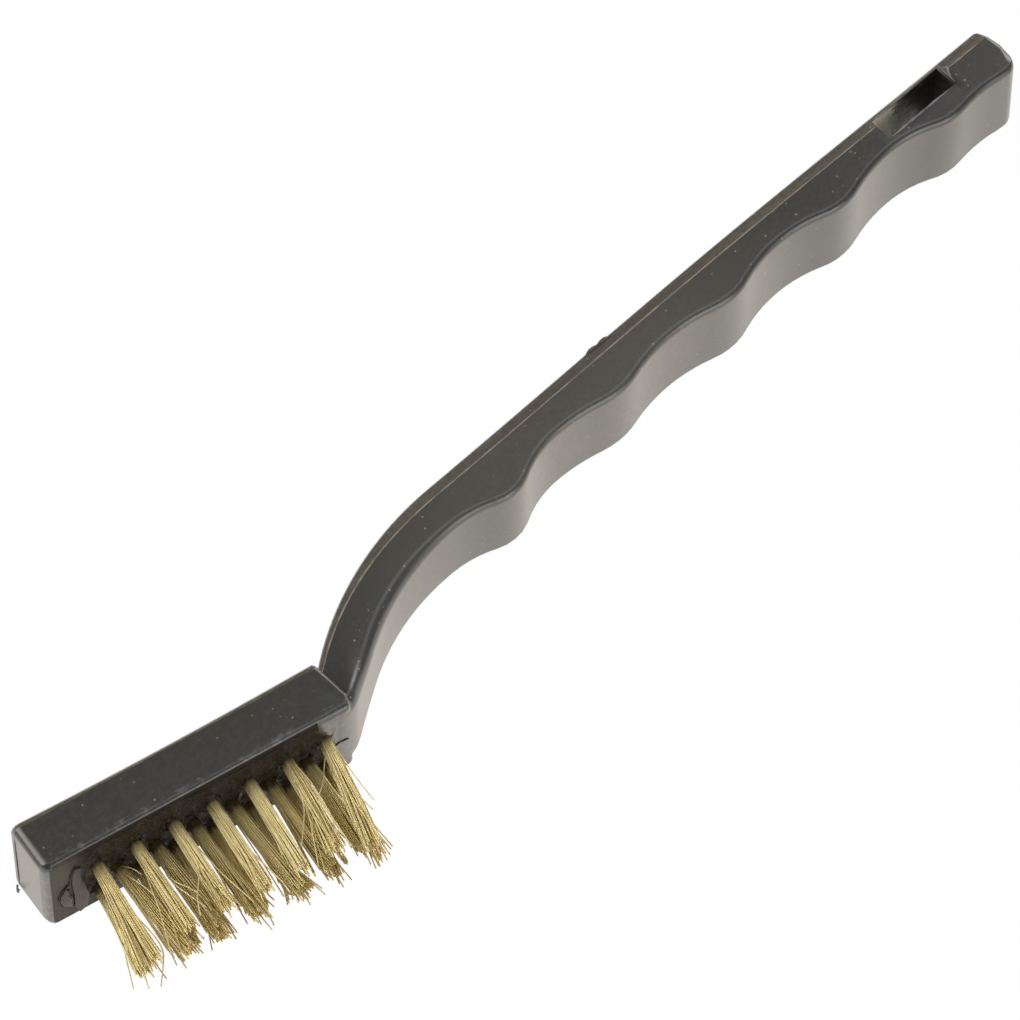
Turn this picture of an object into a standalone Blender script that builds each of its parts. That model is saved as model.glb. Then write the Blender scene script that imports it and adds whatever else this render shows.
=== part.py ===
"""Small brass wire brush with a moulded plastic handle.

The handle is one moulding: a tilted head block, a swan neck and a grip with
finger grooves and a hanging slot. Twenty tufts of brass wire stand in blind
holes in three rows of seven, six and seven. Each tuft is folded round a flat
steel anchor that was driven into the bottom of its hole.

The brush lies on its flank. +X runs along the grip from the head to the
hanging end, +Y is the back, the bristles point to -Y and lean with the head,
and +Z is up, across the width. Lengths are in metres. The outline is drawn
with x at zero where the neck meets the straight grip and y at zero on the
back of the grip. An empty then carries all pieces to the part's own origin,
the middle of the head's lower flank, which is the widest place and so the
one that the brush lies on.
"""
import math
import random

import bmesh
import bpy
from mathutils import Matrix, Vector

# Whole moulding
FACE_EDGE_RADIUS = 0.0010
BACK_EDGE_RADIUS = 0.0003
BACK_DRAFT = 0.00015
EDGE_STEPS = 4
STATION_SPACING = 0.0014

# Head block
HEAD_LENGTH = 0.0462
HEAD_WIDTH = 0.0164
HEAD_THICKNESS = 0.0082
HEAD_TILT = math.radians(12.1)
HEAD_SINK = 0.0003
FACE_HOLLOW = 0.00004
HEAD_PARTING_DEPTH = 0.0009
HEAD_LIP = 0.00070
HEAD_STEP_RADIUS = 0.0003
HEAD_HEEL_RADIUS = 0.0015
HEAD_STATIONS = 14
TIP_RADIUS = 0.0013
TIP_DRAFT = math.radians(3.0)

# Neck
NECK_WIDTH = 0.0126
NECK_BACK_RADIUS = 0.0487
NECK_BACK_ANGLE = math.radians(37.7)
NECK_RAMP_ANGLE = math.radians(31.5)
NECK_FOOT_STEP = 0.0003
KEEL_RADIUS = 0.0060
KEEL_STEPS = 6
KEEL_PROUD = 0.00005
KEEL_TUCK = 0.00010
KEEL_HEAD_STEPS = 2
NECK_ROOT_DEPTH = 0.0016
NECK_ROOT_OVERLAP = 0.0004
NECK_ROOT_INSET = 0.0009
WEB_THICKNESS = 0.00675
WEB_RADIUS = 0.0380
NECK_EDGE_RADIUS = 0.0019
FOOT_INSET = 0.0009
FOOT_HEIGHT = 0.0024
FOOT_RUN = 0.0060

# Grip with finger grooves
FIRST_HUMP_REACH = 0.009464
FINGER_PITCH = 0.0212
HUMP_THICKNESS = 0.0073
GROOVE_THICKNESS = 0.0057
HUMP_SHARES = (1.19, 1.00, 1.00, 1.00, 1.08)
GROOVE_SHARES = (1.05, 1.01, 0.95, 0.98)
HUMP_RADIUS_SHARE = 0.30
BACK_CROWN = 0.00045
GRIP_PARTING_DEPTH = 0.0017

# Torn stub of the gate, on the back edge of the upper flank
GATE_X = 0.0319
GATE_LENGTH = 0.0056
GATE_HEIGHT = 0.00028
GATE_DIP = 0.00008
GATE_WIDTH = 0.0016
GATE_SINK = 0.0005

# Heel and hanging slot
END_WIDTH = 0.0146
HEEL_LENGTH = 0.0124
HEEL_HOLLOW_SHARE = 0.42
HEEL_TOE_SHARE = 0.80
HEEL_HOLLOW_RISE = 0.0004
END_CROWN = 0.0009
END_SIDE_RADIUS = 0.0006
END_FACE_RADIUS = 0.0012
SLOT_LENGTH = 0.0124
SLOT_END_WALL = 0.0092
SLOT_HEIGHT = 0.0033
SLOT_BACK_WALL = 0.00085
SLOT_SLANT = 0.00020
SLOT_RIM = 0.00025
CUT_OVERRUN = 0.0020

# Tuft holes
LONG_ROW_COUNT = 7
SHORT_ROW_COUNT = 6
TIP_MARGIN = 0.0080
NECK_MARGIN = 0.0034
FLANK_MARGIN = 0.0053
HOLE_RADIUS = 0.0010
HOLE_FLOOR = 0.0027
HOLE_SIDES = 12

# Flat anchor driven across the bottom of each hole
ANCHOR_BITE = 0.0002
ANCHOR_HEIGHT = 0.0015
ANCHOR_GAUGE = 0.00035
FOLD_THICKNESS = 0.0005
SEAT_CLEARANCE = 0.0001

# Brass wire tufts
BRISTLE_LENGTH = 0.0155
BRISTLE_SPREAD_SHARE = 0.08
STRAND_RADIUS = 0.00014
INNER_STRANDS = 6
OUTER_STRANDS = 11
INNER_RING_SHARE = 0.42
OUTER_RING_SHARE = 0.78
STRAND_ROOT_DEPTH = 0.0004
STRAND_SIDES = 3
TIP_FLARE = 0.90
BEND_HEIGHT_SHARE = 0.5
BEND_FLARE_SHARE = 0.36
STRAND_WANDER = 0.00015
TUFT_LEAN = 0.00020
TUFT_SEED = 20

# Places that follow from the sizes above
STEP_X = -NECK_BACK_RADIUS * math.sin(NECK_BACK_ANGLE)
NOTCH_Y = -NECK_BACK_RADIUS * (1 - math.cos(NECK_BACK_ANGLE))
HEAD_BACK_Y = NOTCH_Y + HEAD_LIP
HEAD_FOOT_Y = HEAD_BACK_Y - HEAD_THICKNESS / math.cos(HEAD_TILT)
RAMP_START_Y = HEAD_FOOT_Y + NECK_FOOT_STEP
KEEL_SLOPES = math.tan(NECK_RAMP_ANGLE) + math.tan(HEAD_TILT)
KEEL_CORNER_X = STEP_X - (NECK_FOOT_STEP + KEEL_PROUD) / KEEL_SLOPES
KEEL_TANGENT = KEEL_RADIUS * math.tan((NECK_RAMP_ANGLE + HEAD_TILT) / 2)
KEEL_START_X = KEEL_CORNER_X - KEEL_TANGENT * math.cos(HEAD_TILT)
KEEL_END_X = KEEL_CORNER_X + KEEL_TANGENT * math.cos(NECK_RAMP_ANGLE)
KEEL_START_Y = HEAD_FOOT_Y - KEEL_PROUD + (STEP_X - KEEL_START_X) * math.tan(HEAD_TILT)
KEEL_ALONG = HEAD_LENGTH - (STEP_X - KEEL_START_X) / math.cos(HEAD_TILT)
NECK_START_X = KEEL_START_X + NECK_ROOT_OVERLAP
FOOT_END_X = STEP_X + FOOT_RUN
WEB_ARC_RISE = WEB_RADIUS * (1 - math.cos(NECK_RAMP_ANGLE))
WEB_ARC_RUN = WEB_RADIUS * math.sin(NECK_RAMP_ANGLE)
RAMP_END_Y = -WEB_THICKNESS - WEB_ARC_RISE
RAMP_END_X = STEP_X + (RAMP_END_Y - RAMP_START_Y) / math.tan(NECK_RAMP_ANGLE)
WEB_X = RAMP_END_X + WEB_ARC_RUN
FIRST_HUMP_X = WEB_X + FIRST_HUMP_REACH
LAST_HUMP_X = FIRST_HUMP_X + (len(HUMP_SHARES) - 1) * FINGER_PITCH
END_X = LAST_HUMP_X + HEEL_LENGTH
SLOT_OUTER_X = END_X - SLOT_END_WALL
SLOT_INNER_X = SLOT_OUTER_X - SLOT_LENGTH
HOLE_DEPTH = HEAD_THICKNESS - HEAD_SINK - HOLE_FLOOR
ROW_SPACING = HEAD_WIDTH / 2 - FLANK_MARGIN
TUFT_PITCH = (HEAD_LENGTH - TIP_MARGIN - NECK_MARGIN) / (LONG_ROW_COUNT - 1)
TUFT_RADIUS = HOLE_RADIUS - SEAT_CLEARANCE
HEAD_AXIS = Vector((math.cos(HEAD_TILT), -math.sin(HEAD_TILT), 0))
HEAD_UP = Vector((math.sin(HEAD_TILT), math.cos(HEAD_TILT), 0))
HEAD_TIP = Vector((STEP_X, HEAD_BACK_Y, 0)) - HEAD_AXIS * HEAD_LENGTH
FLANK_CENTRE = HEAD_TIP + HEAD_AXIS * HEAD_LENGTH / 2 - HEAD_UP * HEAD_THICKNESS / 2


def clear_scene():
    """Start from an empty scene."""
    for obj in list(bpy.data.objects):
        bpy.data.objects.remove(obj)


def make_material(name, colour, roughness, metallic):
    """A plain Principled finish."""
    material = bpy.data.materials.new(name)
    material.use_nodes = True
    shader = material.node_tree.nodes["Principled BSDF"]
    shader.inputs["Base Color"].default_value = (*colour, 1)
    shader.inputs["Roughness"].default_value = roughness
    shader.inputs["Metallic"].default_value = metallic
    return material


def black_plastic():
    """Satin black moulded polypropylene."""
    return make_material("black_plastic", (0.045, 0.043, 0.040), 0.42, 0.0)


def brass_wire():
    """Drawn brass wire, a little dulled."""
    return make_material("brass_wire", (0.62, 0.50, 0.24), 0.35, 1.0)


def anchor_steel():
    """Flat steel strip that pins a tuft."""
    return make_material("anchor_steel", (0.45, 0.45, 0.46), 0.40, 1.0)


def smooth_step(value):
    """Rise from 0 to 1 with flat ends."""
    value = min(max(value, 0), 1)
    return value * value * (3 - 2 * value)


def back_height(x):
    """Height of the back: the neck's long arc, then a barely crowned grip."""
    if x < 0:
        return math.sqrt(NECK_BACK_RADIUS ** 2 - x ** 2) - NECK_BACK_RADIUS
    return BACK_CROWN * math.sin(math.pi * x / END_X) ** 2


def turning_points():
    """Lowest and highest points of the finger side, from the web to the heel."""
    points = [(WEB_X, -WEB_THICKNESS)]
    for number, share in enumerate(HUMP_SHARES):
        hump_x = FIRST_HUMP_X + number * FINGER_PITCH
        points.append((hump_x, -HUMP_THICKNESS * share))
        if number < len(GROOVE_SHARES):
            groove_y = -GROOVE_THICKNESS * GROOVE_SHARES[number]
            points.append((hump_x + FINGER_PITCH / 2, groove_y))
    heel_y = points[-1][1]
    points.append((LAST_HUMP_X + HEEL_LENGTH * HEEL_HOLLOW_SHARE, heel_y + HEEL_HOLLOW_RISE))
    points.append((LAST_HUMP_X + HEEL_LENGTH * HEEL_TOE_SHARE, heel_y))
    return points


def between_turns(x, hump, groove):
    """Two tangent arcs join a hump to the groove beside it."""
    run = abs(groove[0] - hump[0])
    rise = groove[1] - hump[1]
    both_radii = (run ** 2 + rise ** 2) / (2 * rise)
    from_hump = abs(x - hump[0])
    if from_hump < run * HUMP_RADIUS_SHARE:
        radius = both_radii * HUMP_RADIUS_SHARE
        return hump[1] + radius - math.sqrt(radius ** 2 - from_hump ** 2)
    radius = both_radii * (1 - HUMP_RADIUS_SHARE)
    return groove[1] - radius + math.sqrt(radius ** 2 - (run - from_hump) ** 2)


def face_height(x):
    """Height of the finger side: keel arc, neck ramp, web arc, grooves and heel."""
    if x < KEEL_END_X:
        centre_x = KEEL_START_X + KEEL_RADIUS * math.sin(HEAD_TILT)
        centre_y = KEEL_START_Y + KEEL_RADIUS * math.cos(HEAD_TILT)
        return centre_y - math.sqrt(KEEL_RADIUS ** 2 - (x - centre_x) ** 2)
    if x < RAMP_END_X:
        return RAMP_START_Y + (x - STEP_X) * math.tan(NECK_RAMP_ANGLE)
    if x < WEB_X:
        return -WEB_THICKNESS - WEB_RADIUS + math.sqrt(WEB_RADIUS ** 2 - (WEB_X - x) ** 2)
    points = turning_points()
    for first, second in zip(points, points[1:]):
        if x <= second[0]:
            hump, groove = sorted((first, second), key=lambda point: point[1])
            return between_turns(x, hump, groove)
    return points[-1][1]


def side_inset(x):
    """The neck is narrower than the head and the grip widens again towards its end."""
    share = math.sin(math.pi / 2 * (x - STEP_X) / (END_X - STEP_X))
    return (HEAD_WIDTH - NECK_WIDTH - (END_WIDTH - NECK_WIDTH) * share) / 2


def parting_depth(x):
    """The parting line drops away from the back as the neck becomes the grip."""
    share = smooth_step((x - STEP_X) / -STEP_X)
    return HEAD_PARTING_DEPTH + (GRIP_PARTING_DEPTH - HEAD_PARTING_DEPTH) * share


def flank_section(top, bottom, parting, side, foot_side, radius, foot_top=None):
    """Heights and insets down one flank, from the back to the bristle side.

    side is the inset of the flank and foot_side that of its lower edge. foot_top is
    the height where the flank starts to turn towards that edge.
    """
    points = [(top, side + BACK_DRAFT + BACK_EDGE_RADIUS),
              (top - BACK_EDGE_RADIUS, side + BACK_DRAFT),
              (parting, side)]
    if foot_top is not None:
        points.append((foot_top, side))
    for step in range(EDGE_STEPS + 1):
        turn = math.pi / 2 * step / EDGE_STEPS
        points.append((bottom + radius * (1 - math.sin(turn)),
                       foot_side + radius * (1 - math.cos(turn))))
    return points


def half_section(top, bottom, parting, side=0.0, back=0.0, face=0.0):
    """A flank with a plain edge. side, back and face draw it in, where an end is rounded."""
    return flank_section(top - back, bottom + face, parting, side, side, FACE_EDGE_RADIUS)


def neck_section(x):
    """A flank of the neck or grip. The neck has a rounder edge and a widened foot."""
    top = back_height(x)
    bottom = face_height(x)
    side = side_inset(x)
    flare = smooth_step((FOOT_END_X - x) / FOOT_RUN)
    foot_side = side + (FOOT_INSET - side) * flare
    softness = smooth_step((FIRST_HUMP_X - x) / (FIRST_HUMP_X - RAMP_END_X))
    radius = FACE_EDGE_RADIUS + (NECK_EDGE_RADIUS - FACE_EDGE_RADIUS) * softness
    return flank_section(top, bottom, top - parting_depth(x), side, foot_side, radius,
                         bottom + radius + FOOT_HEIGHT)


def full_ring(section, place):
    """Both flanks of a section as one ring of points."""
    near = [place(height) + Vector((0, 0, inset)) for height, inset in section]
    far = [place(height) + Vector((0, 0, HEAD_WIDTH - inset)) for height, inset in section]
    return near + far[::-1]


def skin_rings(name, rings):
    """Skin a row of rings and close both ends with strips across the width."""
    mesh = bmesh.new()
    loops = [[mesh.verts.new(point) for point in ring] for ring in rings]
    count = len(loops[0])
    for first, second in zip(loops, loops[1:]):
        for index in range(count):
            after = (index + 1) % count
            mesh.faces.new((first[index], first[after], second[after], second[index]))
    for loop in (loops[0], loops[-1]):
        for index in range(count // 2 - 1):
            across = count - 1 - index
            mesh.faces.new((loop[index], loop[index + 1], loop[across - 1], loop[across]))
    bmesh.ops.recalc_face_normals(mesh, faces=mesh.faces)
    return new_object(name, mesh)


def new_object(name, mesh):
    """Put a bmesh into the scene under a name."""
    data = bpy.data.meshes.new(name)
    mesh.to_mesh(data)
    mesh.free()
    obj = bpy.data.objects.new(name, data)
    bpy.context.scene.collection.objects.link(obj)
    return obj


def combine(obj, tool, operation):
    """Join or cut an object with a tool shape, keep the result, drop the tool."""
    modifier = obj.modifiers.new("combine", "BOOLEAN")
    modifier.operation = operation
    modifier.object = tool
    modifier.solver = "EXACT"
    depsgraph = bpy.context.evaluated_depsgraph_get()
    result = bpy.data.meshes.new_from_object(obj.evaluated_get(depsgraph))
    obj.modifiers.clear()
    obj.data = result
    bpy.data.objects.remove(tool)


def head_point(along, height):
    """A point on the head: along from the tip, height from its back (down is negative)."""
    return HEAD_TIP + HEAD_AXIS * along + HEAD_UP * height


def head_ring(along, side=0.0, back=0.0, face=0.0):
    """A section of the head. The tip has draft and the neck end is square to the grip.

    The bristle side is a hair hollow. Under the neck its foot is tucked up, so that
    the neck's keel covers it.
    """
    share = along / HEAD_LENGTH
    sink = HEAD_SINK * (1 - (2 * share - 1) ** 2)
    slant = math.tan(TIP_DRAFT) * (1 - share) + math.tan(HEAD_TILT) * share
    section = half_section(-sink, -HEAD_THICKNESS, -HEAD_PARTING_DEPTH, side, back, face)
    foot = head_point(along + HEAD_THICKNESS * slant, -HEAD_THICKNESS)
    tuck = face + FACE_HOLLOW
    if foot.x > KEEL_START_X + KEEL_TUCK:
        tuck = (face_height(foot.x) - foot.y) * math.cos(HEAD_TILT) + KEEL_TUCK
    section.append((-HEAD_THICKNESS + tuck, (HEAD_WIDTH - NECK_WIDTH) / 2 + FACE_EDGE_RADIUS))
    return full_ring(section, lambda height: head_point(along - height * slant, height))


def head_block():
    """The head: rounded at the tip and at the heel, with a small edge at the step."""
    rings = []
    for step in range(EDGE_STEPS + 1):
        turn = math.pi / 2 * step / EDGE_STEPS
        inset = TIP_RADIUS * (1 - math.sin(turn))
        back = BACK_EDGE_RADIUS * (1 - math.sin(turn))
        rings.append(head_ring(TIP_RADIUS * (1 - math.cos(turn)), inset, back, inset))
    for step in range(1, HEAD_STATIONS + 1):
        rings.append(head_ring(TIP_RADIUS + (KEEL_ALONG - TIP_RADIUS) * step / HEAD_STATIONS))
    last = HEAD_LENGTH - HEAD_HEEL_RADIUS
    for step in range(1, KEEL_HEAD_STEPS + 1):
        rings.append(head_ring(KEEL_ALONG + (last - KEEL_ALONG) * step / KEEL_HEAD_STEPS))
    run = HEAD_HEEL_RADIUS - HEAD_STEP_RADIUS
    for step in range(1, EDGE_STEPS + 1):
        turn = math.pi / 2 * step / EDGE_STEPS
        rings.append(head_ring(last + run * math.sin(turn), face=run * (1 - math.cos(turn))))
    rings.append(head_ring(HEAD_LENGTH, HEAD_STEP_RADIUS, 0.0, HEAD_HEEL_RADIUS))
    return skin_rings("handle", rings)


def grip_ring(x):
    """An upright section of the neck or grip."""
    return full_ring(neck_section(x), lambda height: Vector((x, height, 0)))


def neck_root_ring():
    """The neck's first section, drawn in and set inside the head block."""
    top = back_height(NECK_START_X)
    bottom = face_height(NECK_START_X)
    middle = (top + bottom) / 2
    shrink = 1 - 2 * NECK_ROOT_INSET / (top - bottom)
    drawn_in = [(middle + (height - middle) * shrink, inset + NECK_ROOT_INSET)
                for height, inset in neck_section(NECK_START_X)]
    root_x = NECK_START_X - NECK_ROOT_DEPTH
    return full_ring(drawn_in, lambda height: Vector((root_x, height, 0)))


def end_ring(turn):
    """A section of the bowed end. turn goes from the flank to the end face."""
    top = back_height(END_X)
    bottom = face_height(END_X)
    away = 1 - math.cos(turn)
    side = side_inset(END_X) + END_SIDE_RADIUS * away
    foot = bottom + END_FACE_RADIUS * away
    section = flank_section(top - BACK_EDGE_RADIUS * away, foot, top - GRIP_PARTING_DEPTH,
                            side, side, FACE_EDGE_RADIUS, foot + FACE_EDGE_RADIUS + FOOT_HEIGHT)

    def place(height):
        from_middle = (2 * height - top - bottom) / (top - bottom)
        foot_share = max(0, -from_middle)
        radius = END_SIDE_RADIUS + (END_FACE_RADIUS - END_SIDE_RADIUS) * foot_share
        x = END_X - END_CROWN * from_middle ** 2 - radius * (1 - math.sin(turn))
        return Vector((x, height, 0))

    return full_ring(section, place)


def neck_and_grip():
    """The neck and grip as one run of sections from the head to the hanging end."""
    last = END_X - END_CROWN - END_FACE_RADIUS - BACK_EDGE_RADIUS
    count = round((last - KEEL_END_X) / STATION_SPACING)
    rings = [neck_root_ring()]
    for step in range(KEEL_STEPS):
        rings.append(grip_ring(NECK_START_X + (KEEL_END_X - NECK_START_X) * step / KEEL_STEPS))
    for step in range(count + 1):
        rings.append(grip_ring(KEEL_END_X + (last - KEEL_END_X) * step / count))
    for step in range(EDGE_STEPS + 1):
        rings.append(end_ring(math.pi / 2 * step / EDGE_STEPS))
    return skin_rings("neck_and_grip", rings)


def slot_loop(grow, z):
    """The slot's four corners at one level, moved outward by grow."""
    top = back_height(SLOT_INNER_X) - SLOT_BACK_WALL
    bottom = top - SLOT_HEIGHT
    return [Vector((SLOT_INNER_X - grow, top + grow, z)),
            Vector((SLOT_INNER_X - grow, bottom - grow, z)),
            Vector((SLOT_OUTER_X + grow, bottom - grow, z)),
            Vector((SLOT_OUTER_X + grow, top + SLOT_SLANT + grow, z))]


def slot_tool():
    """The hanging slot, straight through from flank to flank, with bevelled rims."""
    flank = side_inset(SLOT_INNER_X)
    levels = ((SLOT_RIM + CUT_OVERRUN, flank - CUT_OVERRUN), (0, flank + SLOT_RIM),
              (0, HEAD_WIDTH - flank - SLOT_RIM),
              (SLOT_RIM + CUT_OVERRUN, HEAD_WIDTH - flank + CUT_OVERRUN))
    mesh = bmesh.new()
    loops = [[mesh.verts.new(point) for point in slot_loop(grow, z)] for grow, z in levels]
    mesh.faces.new(loops[0])
    mesh.faces.new(loops[-1])
    for first, second in zip(loops, loops[1:]):
        for index in range(len(first)):
            after = (index + 1) % len(first)
            mesh.faces.new((first[index], first[after], second[after], second[index]))
    bmesh.ops.recalc_face_normals(mesh, faces=mesh.faces)
    return new_object("slot_tool", mesh)


def prism(name, outline, travel):
    """A flat outline pushed along a straight line into a closed block."""
    mesh = bmesh.new()
    base = mesh.faces.new([mesh.verts.new(point) for point in outline])
    pushed = bmesh.ops.extrude_face_region(mesh, geom=[base])
    moved = [item for item in pushed["geom"] if isinstance(item, bmesh.types.BMVert)]
    bmesh.ops.translate(mesh, verts=moved, vec=travel)
    bmesh.ops.recalc_face_normals(mesh, faces=mesh.faces)
    return new_object(name, mesh)


def gate_stub():
    """What stays of the gate where the moulding was twisted off its runner: two lumps."""
    back = back_height(GATE_X)
    heights = (-GATE_SINK, 0, GATE_HEIGHT, GATE_HEIGHT, GATE_DIP,
               GATE_HEIGHT, GATE_HEIGHT, 0, -GATE_SINK)
    last = len(heights) - 1
    z = HEAD_WIDTH - side_inset(GATE_X) - BACK_DRAFT - BACK_EDGE_RADIUS
    outline = [Vector((GATE_X + (step / last - 1 / 2) * GATE_LENGTH, back + height, z))
               for step, height in enumerate(heights)]
    return prism("gate_stub", outline, Vector((0, 0, -GATE_WIDTH)))


def tuft_places():
    """Centres of the holes on the bristle side: two long rows and a staggered short one."""
    places = []
    for row, count in ((-1, LONG_ROW_COUNT), (0, SHORT_ROW_COUNT), (1, LONG_ROW_COUNT)):
        start = TIP_MARGIN + (LONG_ROW_COUNT - count) * TUFT_PITCH / 2
        for number in range(count):
            centre = head_point(start + number * TUFT_PITCH, -HEAD_THICKNESS)
            centre.z = HEAD_WIDTH / 2 + row * ROW_SPACING
            places.append(centre)
    return places


def tuft_frame(centre):
    """Local frame of a tuft: z runs out of the hole, x along the row of tufts."""
    outward = -HEAD_UP
    across = outward.cross(HEAD_AXIS)
    turn = Matrix((HEAD_AXIS, across, outward)).transposed()
    return Matrix.Translation(centre) @ turn.to_4x4()


def scored_circle(radius, reach, half_gauge, sides):
    """A round outline with two square nicks on the x axis, scored by the anchor."""
    points = []
    for step in range(sides):
        turn = 2 * math.pi * (step + 1 / 2) / sides
        points.append((radius * math.cos(turn), radius * math.sin(turn)))
    nick_x = math.sqrt(radius ** 2 - half_gauge ** 2)
    half = sides // 2
    left = [(-nick_x, half_gauge), (-reach, half_gauge), (-reach, -half_gauge), (-nick_x, -half_gauge)]
    right = [(nick_x, -half_gauge), (reach, -half_gauge), (reach, half_gauge), (nick_x, half_gauge)]
    return points[:half] + left + points[half:] + right


def hole_tools():
    """Blind holes for all tufts, as one tool."""
    reach = HOLE_RADIUS + ANCHOR_BITE + SEAT_CLEARANCE
    half_gauge = ANCHOR_GAUGE / 2 + SEAT_CLEARANCE
    outline = scored_circle(HOLE_RADIUS, reach, half_gauge, HOLE_SIDES)
    mesh = bmesh.new()
    for centre in tuft_places():
        frame = tuft_frame(centre)
        floor = [mesh.verts.new(frame @ Vector((x, y, -HOLE_DEPTH))) for x, y in outline]
        mouth = [mesh.verts.new(frame @ Vector((x, y, CUT_OVERRUN))) for x, y in outline]
        mesh.faces.new(floor)
        mesh.faces.new(mouth)
        for index in range(len(outline)):
            after = (index + 1) % len(outline)
            mesh.faces.new((floor[index], floor[after], mouth[after], mouth[index]))
    bmesh.ops.recalc_face_normals(mesh, faces=mesh.faces)
    return new_object("hole_tools", mesh)


def build_handle(carrier):
    """Head, neck and grip in one piece, with the slot and the tuft holes cut."""
    handle = head_block()
    combine(handle, neck_and_grip(), "UNION")
    combine(handle, gate_stub(), "UNION")
    combine(handle, slot_tool(), "DIFFERENCE")
    combine(handle, hole_tools(), "DIFFERENCE")
    finish_piece(handle, carrier, black_plastic())


def finish_piece(obj, carrier, material):
    """Material, smooth shading and parent."""
    obj.data.materials.clear()
    obj.data.materials.append(material)
    obj.data.shade_smooth()
    obj.data.set_sharp_from_angle(angle=math.radians(30))
    obj.parent = carrier


def strand_roots():
    """Where the wires leave the packed root: one in the middle and two rings."""
    roots = [Vector((0, 0))]
    for count, share in ((INNER_STRANDS, INNER_RING_SHARE), (OUTER_STRANDS, OUTER_RING_SHARE)):
        for step in range(count):
            turn = 2 * math.pi * step / count
            roots.append(Vector((math.cos(turn), math.sin(turn))) * TUFT_RADIUS * share)
    return roots


def strand_centre(root, drift, lean, height):
    """Place of a strand at a height. All strands open from the root alike, so none cross."""
    rise = height / BRISTLE_LENGTH
    if rise < BEND_HEIGHT_SHARE:
        opening = BEND_FLARE_SHARE * rise / BEND_HEIGHT_SHARE
    else:
        past = (rise - BEND_HEIGHT_SHARE) / (1 - BEND_HEIGHT_SHARE)
        opening = BEND_FLARE_SHARE + (1 - BEND_FLARE_SHARE) * past
    opening = max(opening, 0)
    side = root * (1 + TIP_FLARE * opening) + (drift + lean) * opening
    return Vector((side.x, side.y, height))


def strand_tools(draw):
    """All free strands of one tuft, each a closed three-sided wire."""
    lean = Vector((draw.uniform(-1, 1), draw.uniform(-1, 1))) * TUFT_LEAN
    mesh = bmesh.new()
    for root in strand_roots():
        drift = Vector((draw.uniform(-1, 1), draw.uniform(-1, 1))) * STRAND_WANDER
        length = BRISTLE_LENGTH * (1 + draw.uniform(-1, 1) * BRISTLE_SPREAD_SHARE)
        heights = (-STRAND_ROOT_DEPTH, BRISTLE_LENGTH * BEND_HEIGHT_SHARE, length)
        turn = math.atan2(root.y, root.x)
        loops = []
        for height in heights:
            centre = strand_centre(root, drift, lean, height)
            loops.append([mesh.verts.new(centre + corner) for corner in strand_corners(turn)])
        mesh.faces.new(loops[0])
        mesh.faces.new(loops[-1])
        for first, second in zip(loops, loops[1:]):
            for index in range(STRAND_SIDES):
                after = (index + 1) % STRAND_SIDES
                mesh.faces.new((first[index], first[after], second[after], second[index]))
    bmesh.ops.recalc_face_normals(mesh, faces=mesh.faces)
    return new_object("strand_tools", mesh)


def strand_corners(turn):
    """Corners of a strand round its centre."""
    corners = []
    for step in range(STRAND_SIDES):
        angle = turn + 2 * math.pi * step / STRAND_SIDES
        corners.append(Vector((math.cos(angle), math.sin(angle), 0)) * STRAND_RADIUS)
    return corners


def root_plug(name):
    """The packed root of a tuft, folded round its anchor, which leaves an eye."""
    depth = HOLE_DEPTH - SEAT_CLEARANCE
    outline = []
    for step in range(HOLE_SIDES):
        turn = 2 * math.pi * (step + 1 / 2) / HOLE_SIDES
        outline.append(Vector((TUFT_RADIUS * math.cos(turn), TUFT_RADIUS * math.sin(turn), -depth)))
    plug = prism(name, outline, Vector((0, 0, depth)))
    eye_bottom = -depth + FOLD_THICKNESS
    eye_height = ANCHOR_HEIGHT + 2 * SEAT_CLEARANCE
    half = ANCHOR_GAUGE / 2 + SEAT_CLEARANCE
    corners = ((-half, eye_bottom), (half, eye_bottom),
               (half, eye_bottom + eye_height), (-half, eye_bottom + eye_height))
    eye = prism("eye_tool", [Vector((-HOLE_RADIUS, y, z)) for y, z in corners],
                Vector((2 * HOLE_RADIUS, 0, 0)))
    combine(plug, eye, "DIFFERENCE")
    return plug


def build_tuft(number, centre, carrier, material, draw):
    """One tuft: packed root and free strands, standing in its hole."""
    tuft = root_plug(f"wire_tuft_{number:02d}")
    combine(tuft, strand_tools(draw), "UNION")
    finish_piece(tuft, carrier, material)
    tuft.matrix_local = tuft_frame(centre)


def build_anchor(number, centre, carrier, material):
    """One flat anchor across the bottom of a hole, its ends bitten into the wall."""
    bottom = -HOLE_DEPTH + 2 * SEAT_CLEARANCE + FOLD_THICKNESS
    reach = HOLE_RADIUS + ANCHOR_BITE
    half = ANCHOR_GAUGE / 2
    corners = ((-half, bottom), (half, bottom),
               (half, bottom + ANCHOR_HEIGHT), (-half, bottom + ANCHOR_HEIGHT))
    anchor = prism(f"tuft_anchor_{number:02d}", [Vector((-reach, y, z)) for y, z in corners],
                   Vector((2 * reach, 0, 0)))
    finish_piece(anchor, carrier, material)
    anchor.matrix_local = tuft_frame(centre)


def build_brush():
    """All pieces of the brush on one carrier."""
    clear_scene()
    carrier = bpy.data.objects.new("brush_carrier", None)
    bpy.context.scene.collection.objects.link(carrier)
    carrier.location = -FLANK_CENTRE
    build_handle(carrier)
    draw = random.Random(TUFT_SEED)
    brass = brass_wire()
    steel = anchor_steel()
    for number, centre in enumerate(tuft_places(), start=1):
        build_tuft(number, centre, carrier, brass, draw)
        build_anchor(number, centre, carrier, steel)
    length = END_X - head_point(HEAD_THICKNESS * math.tan(TIP_DRAFT), -HEAD_THICKNESS).x
    print("overall length", round(length, 5))


build_brush()
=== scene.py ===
"""Looks of a brass wire brush that lies on its side on a pale studio floor."""
import math
import random

import bpy
import numpy as np
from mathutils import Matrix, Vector, noise
from mathutils.bvhtree import BVHTree


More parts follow.
